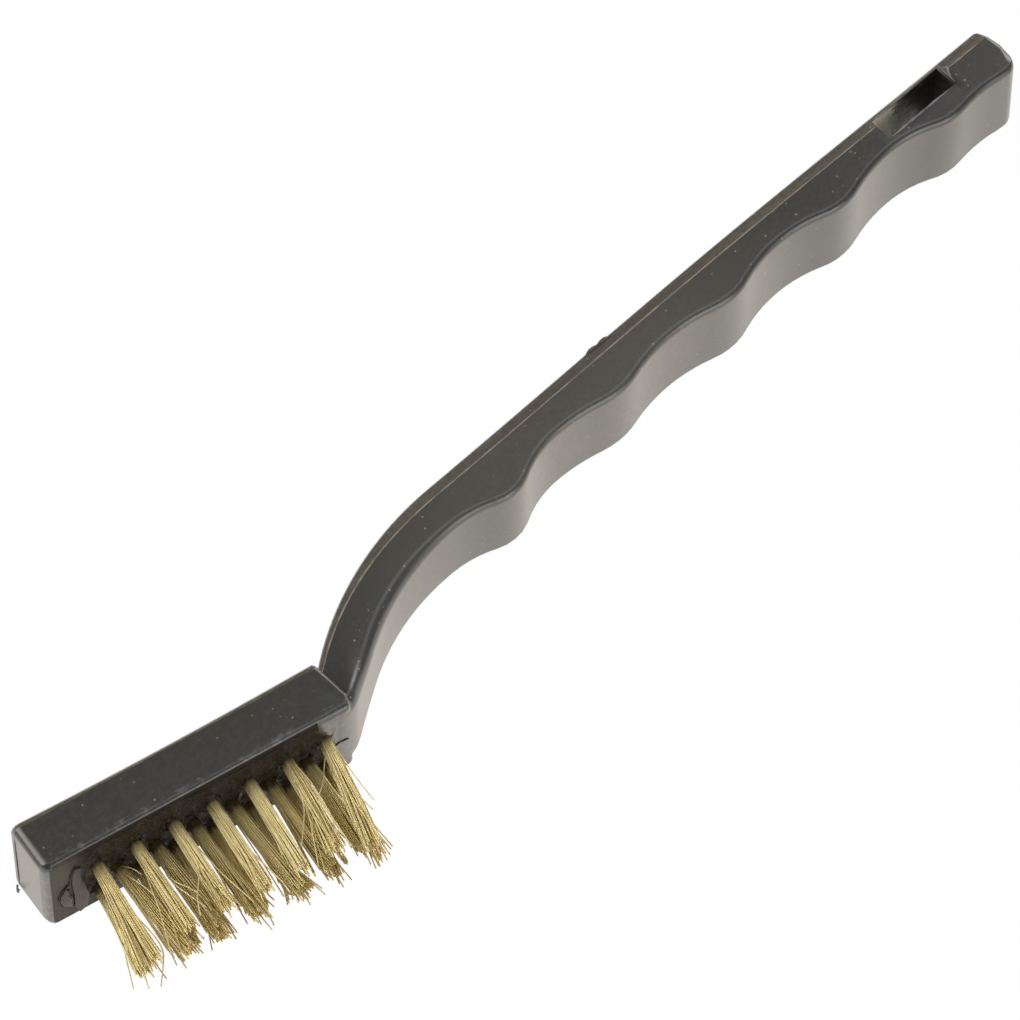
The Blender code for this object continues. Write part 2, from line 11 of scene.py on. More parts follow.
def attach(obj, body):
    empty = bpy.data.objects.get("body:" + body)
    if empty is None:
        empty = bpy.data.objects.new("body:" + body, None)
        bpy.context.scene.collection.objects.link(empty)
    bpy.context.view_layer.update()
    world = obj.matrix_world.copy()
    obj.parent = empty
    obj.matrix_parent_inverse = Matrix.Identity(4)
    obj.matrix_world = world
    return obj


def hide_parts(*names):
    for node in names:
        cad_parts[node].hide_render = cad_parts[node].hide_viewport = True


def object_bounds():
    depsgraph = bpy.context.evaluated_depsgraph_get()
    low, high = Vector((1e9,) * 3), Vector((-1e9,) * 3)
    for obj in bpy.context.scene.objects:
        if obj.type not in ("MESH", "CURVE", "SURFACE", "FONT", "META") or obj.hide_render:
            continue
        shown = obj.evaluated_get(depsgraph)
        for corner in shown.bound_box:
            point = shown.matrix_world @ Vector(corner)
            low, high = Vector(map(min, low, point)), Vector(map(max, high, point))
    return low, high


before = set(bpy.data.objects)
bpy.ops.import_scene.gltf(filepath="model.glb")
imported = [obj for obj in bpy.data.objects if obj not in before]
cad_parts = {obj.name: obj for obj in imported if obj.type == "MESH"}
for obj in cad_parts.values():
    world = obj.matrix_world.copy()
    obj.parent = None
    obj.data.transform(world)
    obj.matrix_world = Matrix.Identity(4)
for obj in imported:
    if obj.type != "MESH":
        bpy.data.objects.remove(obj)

cad_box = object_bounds()

# Handle: head block, swan neck and finger grip in one piece of black
# polypropylene, injection moulded. It leaves the mould satin, with a fine
# grain and faint flow marks, and use leaves dust, haze and a worn edge on it.
# Directions along the head, away from its tip, and up from its bristle side.
HEAD_AXIS = Vector((0.977783, -0.209619, 0.0))
HEAD_UP = Vector((0.209619, 0.977783, 0.0))
HEAD_END_X = 0.0233
WELD_DISTANCE = 1e-6
SOFT_EDGE_ANGLE = math.radians(40)
PLASTIC_DARK = (0.0070, 0.0067, 0.0054, 1)
PLASTIC_LIGHT = (0.0180, 0.0172, 0.0138, 1)
# A pattern is a scale, a detail and a roughness. Stops are places with their levels.
FLOW_MARKS = (55.0, 6.0, 0.62)
SATIN_STOPS = ((0.35, 0.32), (0.65, 0.42))
GRAIN = (3200.0, 3.0, 0.5)
GRAIN_STRENGTH = 0.6
GRAIN_DEPTH = 0.000012
SINK_MARKS = (90.0, 0.0, 0.5)
SINK_STRENGTH = 0.5
SINK_DEPTH = 0.00010
# A lighter, warmer flank on the neck and the start of the grip: a painted highlight of a broad lamp
# reflection.
PLASTIC_HIGHLIGHT = (0.0760, 0.0725, 0.0520, 1)
HIGHLIGHT_RISE = (0.020, 0.070)
HIGHLIGHT_FALL = (0.090, 0.120)
HIGHLIGHT_LEFT = 0.05
# The strip behind the parting line, lighter and browner in streaks: a painted reflection of its drafted
# face.
PLASTIC_BACK_REFLECTION = (0.2300, 0.1900, 0.1350, 1)
STREAK_STRETCH = (40.0, 2600.0, 300.0)
STREAKS = (1.0, 3.0, 0.5)
BACK_SHARE = 0.22
BACK_FADE = 0.45
# A blotchy haze, dust specks that lie in patches, and fine scuffs.
PLASTIC_HAZE = (0.0400, 0.0375, 0.0330, 1)
MOTTLE = (1300.0, 4.0, 0.7)
HAZE_STOPS = ((0.42, 0.0), (0.68, 0.7))
HAZE_ROUGHNESS = 0.48
PLASTIC_DUST = (0.300, 0.285, 0.250, 1)
SPECK_SCALE = 620.0
SPECK_STOPS = ((0.060, 1.0), (0.120, 0.0))
SPECK_PATCHES = (700.0, 2.0, 0.5)
SPECK_PATCH_STOPS = ((0.45, 0.0), (0.51, 1.0))
SCUFF_STRETCH = (260.0, 2600.0, 900.0)
SCUFF_TURN = 0.35
SCUFFS = (1.0, 2.0, 0.5)
SCUFF_STOPS = ((0.60, 0.0), (0.74, 1.0))
SCUFF_SHARE = 0.10
SCUFF_ROUGHNESS = 0.46
# The torn gate on the back, and a lilac bloom beside the slot.
GATE_BROWN = (0.0700, 0.0380, 0.0180, 1)
GATE_DARK = (0.0120, 0.0070, 0.0040, 1)
GATE_PLACE = (0.0852, 0.0089, 0.0148)
GATE_REACH = (0.0031, 0.0007, 0.0013)
GATE_STOPS = ((0.75, 1.0), (1.0, 0.0))
PLASTIC_LILAC = (0.0420, 0.0400, 0.0500, 1)
LILAC_PLACE = (0.1430, 0.0034, 0.0160)
LILAC_REACH = (0.0085, 0.0016, 0.0020)
LILAC_STOPS = ((0.30, 1.0), (1.0, 0.0))
# The edge of the head beside the tufts, rubbed pale.
PLASTIC_WORN = (0.1500, 0.1510, 0.1450, 1)
WORN_EDGE = 0.0036
WORN_WIDTH = 0.0009
RUBBED = (620.0, 5.0, 0.7)
RUBBED_STOPS = ((0.50, 0.0), (0.70, 0.9))
# The moulded skin as a clear coat, with a dusty bloom as a sheen.
PLASTIC_GLOSS = {"Specular IOR Level": 0.5, "Coat Weight": 1.0, "Coat Roughness": 0.30,
                 "Coat IOR": 1.8, "Sheen Weight": 0.45, "Sheen Roughness": 0.35,
                 "Sheen Tint": (0.95, 0.86, 0.72, 1)}
# The slot: where it lies along, up and across the brush, its dust, and a painted patch of light at its
# end toward the head.
SLOT_ENDS = (0.1366, 0.1496)
SLOT_SIDES = (0.0043, 0.0084)
SLOT_LEVELS = (0.0012, 0.0152)
SLOT_DARK = (0.0060, 0.0050, 0.0035, 1)
SLOT_DUST = (0.0600, 0.0540, 0.0430, 1)
SLOT_LIT_PATCH = (0.7000, 0.6600, 0.5600, 1)
SLOT_PATTERN = (900.0, 5.0, 0.7)
SLOT_STOPS = ((0.45, 0.0), (0.70, 1.0))
SLOT_LIT_SPAN = (0.1425, 0.1372)
SLOT_LIT_STOPS = ((0.62, 0.0), (0.95, 1.0))
SLOT_ROUGH_STOPS = ((0.3, 0.32), (0.7, 0.50))
SLOT_STRENGTH = 0.7
SLOT_DEPTH = 0.00010
# Grime on the bristle side, grey at the tip and brown among the tufts.
BRISTLE_SIDE_TURN = -0.80
TIP_SIDE_TURN = -0.25
GRIME_END = 0.0190
GRIME_GREY = (0.078, 0.068, 0.052, 1)
GRIME_PALE = (0.125, 0.110, 0.085, 1)
GRIME_DARK = (0.006, 0.0042, 0.0025, 1)
GRIME_BROWN = (0.030, 0.020, 0.010, 1)
GRIME_SPAN = (-0.0205, -0.0165)
SMEARS = (650.0, 5.0, 0.65)
SMEAR_STOPS = ((0.35, 0.0), (0.70, 1.0))
GRIME_ROUGH_STOPS = ((0.3, 0.45), (0.7, 0.65))
GRIME_STRENGTH = 0.6
GRIME_DEPTH = 0.00006
GRIME_GLOSS = {"Specular IOR Level": 0.35}
# The parting line: its height over the middle of the head block, and its depth
# below the back where the neck starts and on the grip.
HEAD_PARTING_HEIGHT = 0.0032
HEAD_PARTING_DEPTH = 0.0009
GRIP_PARTING_DEPTH = 0.0017
NECK_START_X = 0.0236
NECK_LENGTH = 0.0298
END_ROUND_X = 0.1560
FAR_AWAY = 0.03


def pick_only(piece):
    """Deselect everything, then select one piece and make it active."""
    bpy.ops.object.select_all(action="DESELECT")
    piece.select_set(True)
    bpy.context.view_layer.objects.active = piece


def new_piece(name, content):
    piece = bpy.data.objects.new(name, content)
    bpy.context.scene.collection.objects.link(piece)
    return piece


def finish_mesh(piece, angle):
    """Smooth the faces between edges sharper than the angle, large faces leading."""
    pick_only(piece)
    bpy.ops.object.shade_smooth_by_angle(angle=angle)
    weighted = piece.modifiers.new("even_normals", "WEIGHTED_NORMAL")
    weighted.mode = "FACE_AREA_WITH_ANGLE"
    weighted.keep_sharp = True
    bpy.ops.object.modifier_apply(modifier=weighted.name)


def new_material(name):
    material = bpy.data.materials.new(name)
    material.use_nodes = True
    return material, material.node_tree, material.node_tree.nodes["Principled BSDF"]


def add_node(tree, kind, sockets=(), **settings):
    """A node with its settings, its socket values and the links into it."""
    made = tree.nodes.new(kind)
    for name, value in settings.items():
        setattr(made, name, value)
    for name, value in dict(sockets).items():
        if isinstance(value, bpy.types.NodeSocket):
            tree.links.new(value, made.inputs[name])
        else:
            made.inputs[name].default_value = value
    return made


def grey(level):
    return (level, level, level, 1)


def ramp(tree, factor, stops):
    """A grey ramp between two stops, each a place and a level."""
    made = add_node(tree, "ShaderNodeValToRGB", {"Fac": factor})
    for element, (place, level) in zip(made.color_ramp.elements, stops):
        element.position = place
        element.color = grey(level)
    return made.outputs["Color"]


def blend(tree, factor, first, second):
    """Mix two colours, each a colour or a socket."""
    made = add_node(tree, "ShaderNodeMix", {0: factor}, data_type="RGBA")
    for index, value in ((6, first), (7, second)):
        if isinstance(value, bpy.types.NodeSocket):
            tree.links.new(value, made.inputs[index])
        else:
            made.inputs[index].default_value = value
    return made.outputs[2]


def reckon(tree, operation, *values):
    """The result of a sum on levels."""
    return add_node(tree, "ShaderNodeMath", dict(enumerate(values)), operation=operation).outputs[0]


def measure(tree, operation, *vectors):
    """The number that a sum on vectors gives."""
    made = add_node(tree, "ShaderNodeVectorMath", dict(enumerate(vectors)), operation=operation)
    return made.outputs["Value"]


def crossing(tree, value, span, levels=(0.0, 1.0), kind="LINEAR"):
    """A level that goes from the first to the second while a value crosses a span."""
    made = add_node(tree, "ShaderNodeMapRange", {
        "Value": value, "From Min": span[0], "From Max": span[1],
        "To Min": levels[0], "To Max": levels[1]}, interpolation_type=kind)
    return made.outputs["Result"]


def object_place(tree):
    return add_node(tree, "ShaderNodeTexCoord").outputs["Object"]


def along_brush(tree, place):
    return add_node(tree, "ShaderNodeSeparateXYZ", {"Vector": place}).outputs["X"]


def stretched(tree, place, scale, turn=0.0):
    mapping = add_node(tree, "ShaderNodeMapping", {"Vector": place, "Scale": scale,
                                                   "Rotation": (0.0, 0.0, turn)})
    return mapping.outputs["Vector"]


def cloudy(tree, place, pattern):
    """The level of a pattern, which is a scale, a detail and a roughness."""
    scale, detail, roughness = pattern
    made = add_node(tree, "ShaderNodeTexNoise", {"Vector": place, "Scale": scale, "Detail": detail,
                                                 "Roughness": roughness})
    return made.outputs["Fac"]


def round_patch(tree, place, centre, reach, stops):
    """A level that fades away from a centre, over its own reach each way."""
    patch = add_node(tree, "ShaderNodeMapping", {
        "Vector": place, "Scale": [1 / size for size in reach],
        "Location": [-spot / size for spot, size in zip(centre, reach)]})
    return ramp(tree, measure(tree, "LENGTH", patch.outputs["Vector"]), stops)


def relief(tree, level, strength, depth, under=None):
    """Bumps that follow a level, laid over another relief where there is one."""
    sockets = {"Height": level, "Strength": strength, "Distance": depth}
    if under is not None:
        sockets["Normal"] = under
    return add_node(tree, "ShaderNodeBump", sockets).outputs["Normal"]


def dress(tree, shader, colour, rough, bumps, gloss=()):
    """Give a shader its colour, roughness and relief, and its constant settings."""
    for name, socket in (("Base Color", colour), ("Roughness", rough), ("Normal", bumps)):
        tree.links.new(socket, shader.inputs[name])
    for name, value in dict(gloss).items():
        shader.inputs[name].default_value = value


def dust_specks(tree, place):
    """Single specks of dust, which lie only in some patches."""
    cells = add_node(tree, "ShaderNodeTexVoronoi", {"Vector": place, "Scale": SPECK_SCALE})
    specks = ramp(tree, cells.outputs["Distance"], SPECK_STOPS)
    patches = ramp(tree, cloudy(tree, place, SPECK_PATCHES), SPECK_PATCH_STOPS)
    return reckon(tree, "MULTIPLY", specks, patches)


def rubbed_edge(tree, place, along):
    """The rubbed line near the bristle side of the head."""
    down = measure(tree, "DOT_PRODUCT", place, -HEAD_UP)
    near_edge = reckon(tree, "COMPARE", down, WORN_EDGE, WORN_WIDTH)
    on_head_block = reckon(tree, "LESS_THAN", along, HEAD_END_X)
    rubbed = ramp(tree, cloudy(tree, place, RUBBED), RUBBED_STOPS)
    return reckon(tree, "MULTIPLY", reckon(tree, "MULTIPLY", near_edge, rubbed), on_head_block)


def black_polypropylene():
    material, tree, shader = new_material("black_polypropylene")
    place = object_place(tree)
    along = along_brush(tree, place)
    flow = cloudy(tree, place, FLOW_MARKS)
    colour = blend(tree, flow, PLASTIC_DARK, PLASTIC_LIGHT)
    # Painted highlight: the flank lightens along the neck and fades down the grip.
    highlighted = reckon(tree, "MULTIPLY", crossing(tree, along, HIGHLIGHT_RISE, kind="SMOOTHSTEP"),
                     crossing(tree, along, HIGHLIGHT_FALL, (1.0, HIGHLIGHT_LEFT), "SMOOTHSTEP"))
    colour = blend(tree, highlighted, colour, PLASTIC_HIGHLIGHT)
    streaks = cloudy(tree, stretched(tree, place, STREAK_STRETCH), STREAKS)
    back = add_node(tree, "ShaderNodeAttribute", attribute_name="back_reflection").outputs["Fac"]
    # Painted reflection: the strip behind the parting line is lightened and browned in streaks.
    colour = blend(tree, back, colour, blend(tree, streaks, PLASTIC_LIGHT, PLASTIC_BACK_REFLECTION))
    mottle = cloudy(tree, place, MOTTLE)
    hazy = ramp(tree, mottle, HAZE_STOPS)
    colour = blend(tree, hazy, colour, PLASTIC_HAZE)
    lilac = round_patch(tree, place, LILAC_PLACE, LILAC_REACH, LILAC_STOPS)
    colour = blend(tree, lilac, colour, PLASTIC_LILAC)
    gate = round_patch(tree, place, GATE_PLACE, GATE_REACH, GATE_STOPS)
    colour = blend(tree, gate, colour, blend(tree, mottle, GATE_DARK, GATE_BROWN))
    colour = blend(tree, dust_specks(tree, place), colour, PLASTIC_DUST)
    scuffs = cloudy(tree, stretched(tree, place, SCUFF_STRETCH, SCUFF_TURN), SCUFFS)
    scuffed = ramp(tree, scuffs, SCUFF_STOPS)
    colour = blend(tree, reckon(tree, "MULTIPLY", scuffed, SCUFF_SHARE), colour, PLASTIC_LIGHT)
    colour = blend(tree, rubbed_edge(tree, place, along), colour, PLASTIC_WORN)
    rough = blend(tree, scuffed, ramp(tree, flow, SATIN_STOPS), grey(SCUFF_ROUGHNESS))
    rough = blend(tree, hazy, rough, grey(HAZE_ROUGHNESS))
    fine = relief(tree, cloudy(tree, place, GRAIN), GRAIN_STRENGTH, GRAIN_DEPTH)
    waves = relief(tree, cloudy(tree, place, SINK_MARKS), SINK_STRENGTH, SINK_DEPTH, fine)
    dress(tree, shader, colour, rough, waves, PLASTIC_GLOSS)
    tree.links.new(waves, shader.inputs["Coat Normal"])
    return material


def dusty_plastic():
    """The same plastic where no hand polishes it: inside the slot."""
    material, tree, shader = new_material("dusty_plastic")
    place = object_place(tree)
    dust = cloudy(tree, place, SLOT_PATTERN)
    # Painted light: a pale patch inside the slot toward its end nearer the head, broken up by the dust
    # pattern.
    near_end = crossing(tree, along_brush(tree, place), SLOT_LIT_SPAN)
    scuffed = ramp(tree, reckon(tree, "ADD", near_end, dust), SLOT_LIT_STOPS)
    colour = blend(tree, ramp(tree, dust, SLOT_STOPS), SLOT_DARK, SLOT_DUST)
    colour = blend(tree, scuffed, colour, SLOT_LIT_PATCH)
    dress(tree, shader, colour, ramp(tree, dust, SLOT_ROUGH_STOPS),
          relief(tree, dust, SLOT_STRENGTH, SLOT_DEPTH))
    return material


def grimy_plastic():
    """The same plastic on the bristle side, where smears of dirt dull it."""
    material, tree, shader = new_material("grimy_plastic")
    place = object_place(tree)
    inward = crossing(tree, along_brush(tree, place), GRIME_SPAN)
    smears = cloudy(tree, place, SMEARS)
    level = ramp(tree, smears, SMEAR_STOPS)
    outer = blend(tree, level, GRIME_GREY, GRIME_PALE)
    inner = blend(tree, level, GRIME_DARK, GRIME_BROWN)
    dress(tree, shader, blend(tree, inward, outer, inner), ramp(tree, smears, GRIME_ROUGH_STOPS),
          relief(tree, smears, GRIME_STRENGTH, GRIME_DEPTH), GRIME_GLOSS)
    return material


def eased(share):
    """A share held between 0 and 1 and smoothed at both ends."""
    share = min(max(share, 0.0), 1.0)
    return share * share * (3 - 2 * share)


def parting_height(x):
    """Height of the mould's parting line, which sinks below the back along the neck."""
    if x <= HEAD_END_X:
        return (HEAD_PARTING_HEIGHT - HEAD_UP.x * x) / HEAD_UP.y
    above = Vector((min(max(x, NECK_START_X), END_ROUND_X), FAR_AWAY, cad_box[1].z / 2))
    back = skin.ray_cast(above, Vector((0, -1, 0)))[0].y
    sunk = (GRIP_PARTING_DEPTH - HEAD_PARTING_DEPTH) * eased((x - NECK_START_X) / NECK_LENGTH)
    return back - HEAD_PARTING_DEPTH - sunk


def back_reflection_share(face):
    """How much painted reflection a face takes: the flank behind the parting line, fading round to the
    back.
    """
    centre = face.center
    if centre.y <= parting_height(centre.x):
        return 0.0
    return BACK_SHARE + (1 - BACK_SHARE) * min(1.0, abs(face.normal.z) / BACK_FADE)


def mark_faces(mesh, name, share_of):
    """Keep a share for every face corner, so that the material can follow it."""
    values = [0.0] * len(mesh.loops)
    for face in mesh.polygons:
        share = share_of(face)
        for loop in face.loop_indices:
            values[loop] = share
    mesh.attributes.new(name, "FLOAT", "CORNER").data.foreach_set("value", values)


def in_slot(face):
    spans = zip(face.center, (SLOT_ENDS, SLOT_SIDES, SLOT_LEVELS))
    return all(low < place < high for place, (low, high) in spans)


def on_bristle_side(face):
    """Whether a face belongs to the flat side that the tufts stand in."""
    return (face.normal.dot(HEAD_UP) < BRISTLE_SIDE_TURN and face.normal.dot(HEAD_AXIS) > TIP_SIDE_TURN
            and face.center.dot(HEAD_AXIS) < GRIME_END)


handle = new_piece("handle_moulding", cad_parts["handle"].data.copy())
pick_only(handle)
bpy.ops.object.mode_set(mode="EDIT")
bpy.ops.mesh.select_all(action="SELECT")
bpy.ops.mesh.remove_doubles(threshold=WELD_DISTANCE)
bpy.ops.mesh.select_all(action="SELECT")
bpy.ops.mesh.bisect(plane_co=HEAD_AXIS * GRIME_END, plane_no=HEAD_AXIS)
bpy.ops.object.mode_set(mode="OBJECT")
skin = BVHTree.FromPolygons([v.co for v in handle.data.vertices],
                            [p.vertices for p in handle.data.polygons])
handle.data.materials.clear()
for material in (black_polypropylene(), dusty_plastic(), grimy_plastic()):
    handle.data.materials.append(material)
for face in handle.data.polygons:
    face.material_index = 1 if in_slot(face) else 2 if on_bristle_side(face) else 0
mark_faces(handle.data, "back_reflection", back_reflection_share)
finish_mesh(handle, SOFT_EDGE_ANGLE)
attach(handle, "root")
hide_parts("handle")

# Parting flash: the thin ridge of plastic that the two halves of the mould
# pinched out all round the handle, paler than the plastic beside it, partly from scuffing and partly as
# a painted highlight along the ridge.
ACROSS = Vector((0.0, 0.0, 1.0))
FLASH_RADIUS = 0.00014
FLASH_SINK = 0.00003
FLASH_STEP = 0.0009
FLASH_WAVER = 0.18
FLASH_SEED = 5
TAPER_SHARE = 0.3
TAPER_POINTS = 3
FLASH_HIGHLIGHT_PALE = (0.370, 0.350, 0.310, 1)
FLASH_HIGHLIGHT_DARK = (0.230, 0.215, 0.185, 1)
STEP_SHADOW_DARK = (0.0060, 0.0050, 0.0040, 1)
SCUFFED_PATTERN = (480.0, 4.0, 0.5)
SCUFFED_STOPS = ((0.36, 0.0), (0.60, 1.0))
SCUFFED_ROUGH_STOPS = ((0.3, 0.35), (0.7, 0.60))
SCUFFED_STRENGTH = 0.6
SCUFFED_DEPTH = 0.00003
TIP_CLEAR = 0.0016
STEP_CLEAR = 0.0003
SLOT_CLEAR = 0.0002
END_CLEAR = 0.0012
END_LEVELS = (0.0150, 0.0014)
END_PIECES = 12
# The painted step shadow on the tip face: its drop below the flash and its radius.
STEP_SHADOW_DROP = 0.00022
STEP_SHADOW_RADIUS = 0.00011


def patchy_finish(name, pattern, stops, first, second, rough_stops, strength, depth):
    """Two colours in patches, with the roughness and the relief following them."""
    material, tree, shader = new_material(name)
    patches = cloudy(tree, object_place(tree), pattern)
    dress(tree, shader, blend(tree, ramp(tree, patches, stops), first, second),
          ramp(tree, patches, rough_stops), relief(tree, patches, strength, depth))
    return material


def scuffed_plastic(name, first, second):
    return patchy_finish(name, SCUFFED_PATTERN, SCUFFED_STOPS, first, second, SCUFFED_ROUGH_STOPS,
                         SCUFFED_STRENGTH, SCUFFED_DEPTH)


def cast(origin, direction, sink=FLASH_SINK):
    """Where a line meets the handle, a little under its skin and between its flanks."""
    point = skin.ray_cast(origin, direction)[0] + direction * sink
    point.z = min(max(point.z, cad_box[0].z + FLASH_RADIUS), cad_box[1].z - FLASH_RADIUS)
    return point


def flank_strand(start, end, above):
    """Points along the parting line of the upper or lower flank."""
    count = int((end - start) / FLASH_STEP)
    level = cad_box[1].z + FAR_AWAY if above else -FAR_AWAY
    strand = []
    for step in range(count + 1):
        x = start + (end - start) * step / count
        strand.append(cast(Vector((x, parting_height(x), level)), -ACROSS if above else ACROSS))
    return strand


def end_strand(x, y, direction):
    """Points down an end face, at one place along its height."""
    first, last = END_LEVELS
    strand = []
    for step in range(END_PIECES + 1):
        z = first + (last - first) * step / END_PIECES
        strand.append(cast(Vector((x, y, z)) - direction * FAR_AWAY, direction))
    return strand


def wavering(strand, radius, chance):
    """A radius for every point, tapering at both ends of the strand."""
    last = len(strand) - 1
    widths = []
    for step in range(last + 1):
        taper = min(1.0, TAPER_SHARE + min(step, last - step) / TAPER_POINTS)
        widths.append(radius * taper * (1 + FLASH_WAVER * chance.uniform(-1, 0.5)))
    return widths


def swept_tube(name, strands, radii, material):
    """Round tubes along strands of points, made one mesh from bevelled curves."""
    curve = bpy.data.curves.new(name, "CURVE")
    curve.dimensions = "3D"
    curve.bevel_depth = 1.0
    curve.bevel_resolution = 1
    curve.use_fill_caps = True
    for strand, widths in zip(strands, radii):
        spline = curve.splines.new("POLY")
        spline.points.add(len(strand) - 1)
        for point, place, radius in zip(spline.points, strand, widths):
            point.co = (*place, 1.0)
            point.radius = radius
    pick_only(new_piece(name, curve))
    bpy.ops.object.convert(target="MESH")
    tube = bpy.context.object
    tube.data.materials.clear()
    tube.data.materials.append(material)
    bpy.ops.object.shade_smooth()
    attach(tube, "root")
    return tube


chance = random.Random(FLASH_SEED)
tip_x, end_x = cad_box[0].x, cad_box[1].x
tip_height = parting_height(tip_x)
runs = ((tip_x + TIP_CLEAR, HEAD_END_X - STEP_CLEAR),
        (NECK_START_X + FLASH_STEP / 4, SLOT_ENDS[0]),
        (SLOT_ENDS[1] + SLOT_CLEAR, end_x - END_CLEAR))
strands = [flank_strand(start, end, above) for start, end in runs for above in (True, False)]
strands.append(end_strand(tip_x, tip_height, HEAD_AXIS))
strands.append(end_strand(end_x, parting_height(end_x), Vector((-1, 0, 0))))
# The flash's pale colours are partly scuffing and partly a painted highlight.
scuffed = scuffed_plastic("scuffed_plastic", FLASH_HIGHLIGHT_DARK, FLASH_HIGHLIGHT_PALE)
flash_radii = [wavering(strand, FLASH_RADIUS, chance) for strand in strands]
swept_tube("parting_flash", strands, flash_radii, scuffed)
# A thin dark tube on the tip face beside the flash: a painted shadow of the small step there.
step_shadow = end_strand(tip_x, tip_height - STEP_SHADOW_DROP, HEAD_AXIS)
step_shadow_plastic = scuffed_plastic("step_shadow_plastic", STEP_SHADOW_DARK, PLASTIC_DARK)
swept_tube("tip_step_shadow", [step_shadow], [wavering(step_shadow, STEP_SHADOW_RADIUS, chance)], step_shadow_plastic)

# Scratches: nicks that use has cut into the upper flank, where the plastic
# has stood up beside the cut and been burnished pale.
BURNISHED_PALE = (0.30, 0.29, 0.31, 1)
BURNISHED_DARK = (0.14, 0.135, 0.14, 1)
SCRATCH_RADIUS = 0.00007
FLANK_PIECES = 6
# Corners of each scratch, places along and up, in metres.
SCRATCHES = (((0.0346, 0.0003), (0.0352, 0.0011)), ((0.0350, -0.0002), (0.0351, 0.0002)),
             ((0.0353, 0.0014), (0.0356, 0.0012)), ((0.0336, -0.0006), (0.0339, -0.0003)),
             ((0.0327, 0.0002), (0.0329, 0.0003)), ((0.0318, -0.0014), (0.0320, -0.0011)),
             ((0.0196, -0.0034), (0.0199, -0.0041), (0.0201, -0.0050), (0.0201, -0.0059)))


def on_upper_flank(corners):
    """Points on the upper flank along the lines between corners."""
    strand = []
    for (x, y), (next_x, next_y) in zip(corners, corners[1:]):
        for step in range(FLANK_PIECES):
            share = step / FLANK_PIECES
            spot = Vector((x + (next_x - x) * share, y + (next_y - y) * share,
                           cad_box[1].z + FAR_AWAY))
            strand.append(cast(spot, -ACROSS))
    return strand


burnished = scuffed_plastic("burnished_plastic", BURNISHED_DARK, BURNISHED_PALE)
scratches = [on_upper_flank(corners) for corners in SCRATCHES]
scratch_radii = [wavering(scratch, SCRATCH_RADIUS, chance) for scratch in scratches]
swept_tube("scratches", scratches, scratch_radii, burnished)

# Flash round the slot: the core that made the slot left a rim, pale partly from burnishing and partly
# as a painted highlight along its edges, with a web of thin flash at its far end and a few blobs on the
# parting line.
RIM_RADIUS = 0.00021
THIN_RIM_RADIUS = 0.00014
BLOB_RADIUS = 0.00018
# Corners of the slot's rim, places along and up, in metres.
RIM_FRONT = ((0.1371, 0.00440), (0.1431, 0.00440), (0.1491, 0.00442))
RIM_BACK = ((0.1371, 0.00815), (0.1431, 0.00822), (0.1492, 0.00835))
RIM_END = ((0.14955, 0.0081), (0.14960, 0.0063), (0.14955, 0.0045))
FLASH_WEB = ((0.1497, 0.0076), (0.1504, 0.0072), (0.1499, 0.0064), (0.1497, 0.0055))
FLASH_BLOBS = (((0.1335, 0.0069), (0.1341, 0.0073)), ((0.1343, 0.0072), (0.1351, 0.0073)),
               ((0.1357, 0.0074), (0.1362, 0.0078)), ((0.1312, 0.0051), (0.1314, 0.0049)))

rims = [on_upper_flank(corners) for corners in (RIM_FRONT, RIM_BACK, RIM_END, FLASH_WEB, *FLASH_BLOBS)]
thickest = [RIM_RADIUS, THIN_RIM_RADIUS, THIN_RIM_RADIUS, RIM_RADIUS] + [BLOB_RADIUS] * len(FLASH_BLOBS)
rim_radii = [wavering(rim, radius, chance) for rim, radius in zip(rims, thickest)]
# The rim takes the burnished plastic's pale colours, partly wear and partly a painted highlight along
# the slot's edges.
swept_tube("slot_rim", rims, rim_radii, burnished)

# Damage at the tip: the plastic beside the first tufts has cracked and lifted
# in two flakes, a spur hangs from the tip, and a sliver curls at the heel.
HEAD_MIDDLE = 0.0231
HALF_THICKNESS = 0.0041
CRACK_RADIUS = 0.00019
CRACK_DARK = (0.0040, 0.0030, 0.0020, 1)
CRACK_BROWN = (0.0160, 0.0110, 0.0070, 1)
FLAKE_GREY = (0.0500, 0.0440, 0.0330, 1)
FLAKE_PALE = (0.1150, 0.1030, 0.0800, 1)
FLAKE_THICKNESS = 0.00015
FLAKE_RISE = 0.00022
FLAKE_EDGE_ANGLE = math.radians(30)
SPUR_RADIUS = 0.00016
SLIVER_RADIUS = 0.00008
# Places on the bristle side: distance from the tip and height, in millimetres.
CRACK_LINE = ((5.05, 13.35), (4.18, 11.39), (4.07, 9.51), (3.14, 9.04), (2.30, 7.61), (2.06, 6.13),
              (2.56, 4.19), (4.01, 2.98), (4.16, 5.70), (3.60, 6.56), (3.75, 8.20))
FLAKES = (((2.45, 7.50), (2.25, 6.20), (2.70, 4.50), (3.90, 3.30), (3.95, 5.50), (3.45, 6.60),
           (3.55, 8.10), (3.20, 8.80)),
          ((4.35, 11.50), (4.90, 12.90), (5.70, 12.60), (5.40, 10.20), (6.10, 7.50), (6.50, 4.50),
           (6.20, 1.60), (5.00, 0.90), (4.35, 3.00), (4.45, 6.00), (4.25, 9.00)))
SLIVER_LINE = ((44.40, 7.80), (45.30, 8.25), (46.10, 8.10), (46.70, 7.60))
# Points of the spur at the tip, in millimetres.
SPUR_LINES = (((-21.95, 8.25, 1.05), (-22.40, 7.85, 0.85), (-22.62, 7.35, 0.75)),
              ((-22.30, 7.90, 0.90), (-22.35, 7.45, 0.80)))


def rounded(points):
    """A strand with its corners cut twice, so that it runs in a smooth curve."""
    for _ in range(2):
        cut = [a.lerp(b, share) for a, b in zip(points, points[1:]) for share in (0.25, 0.75)]
        points = [points[0]] + cut + [points[-1]]
    return points


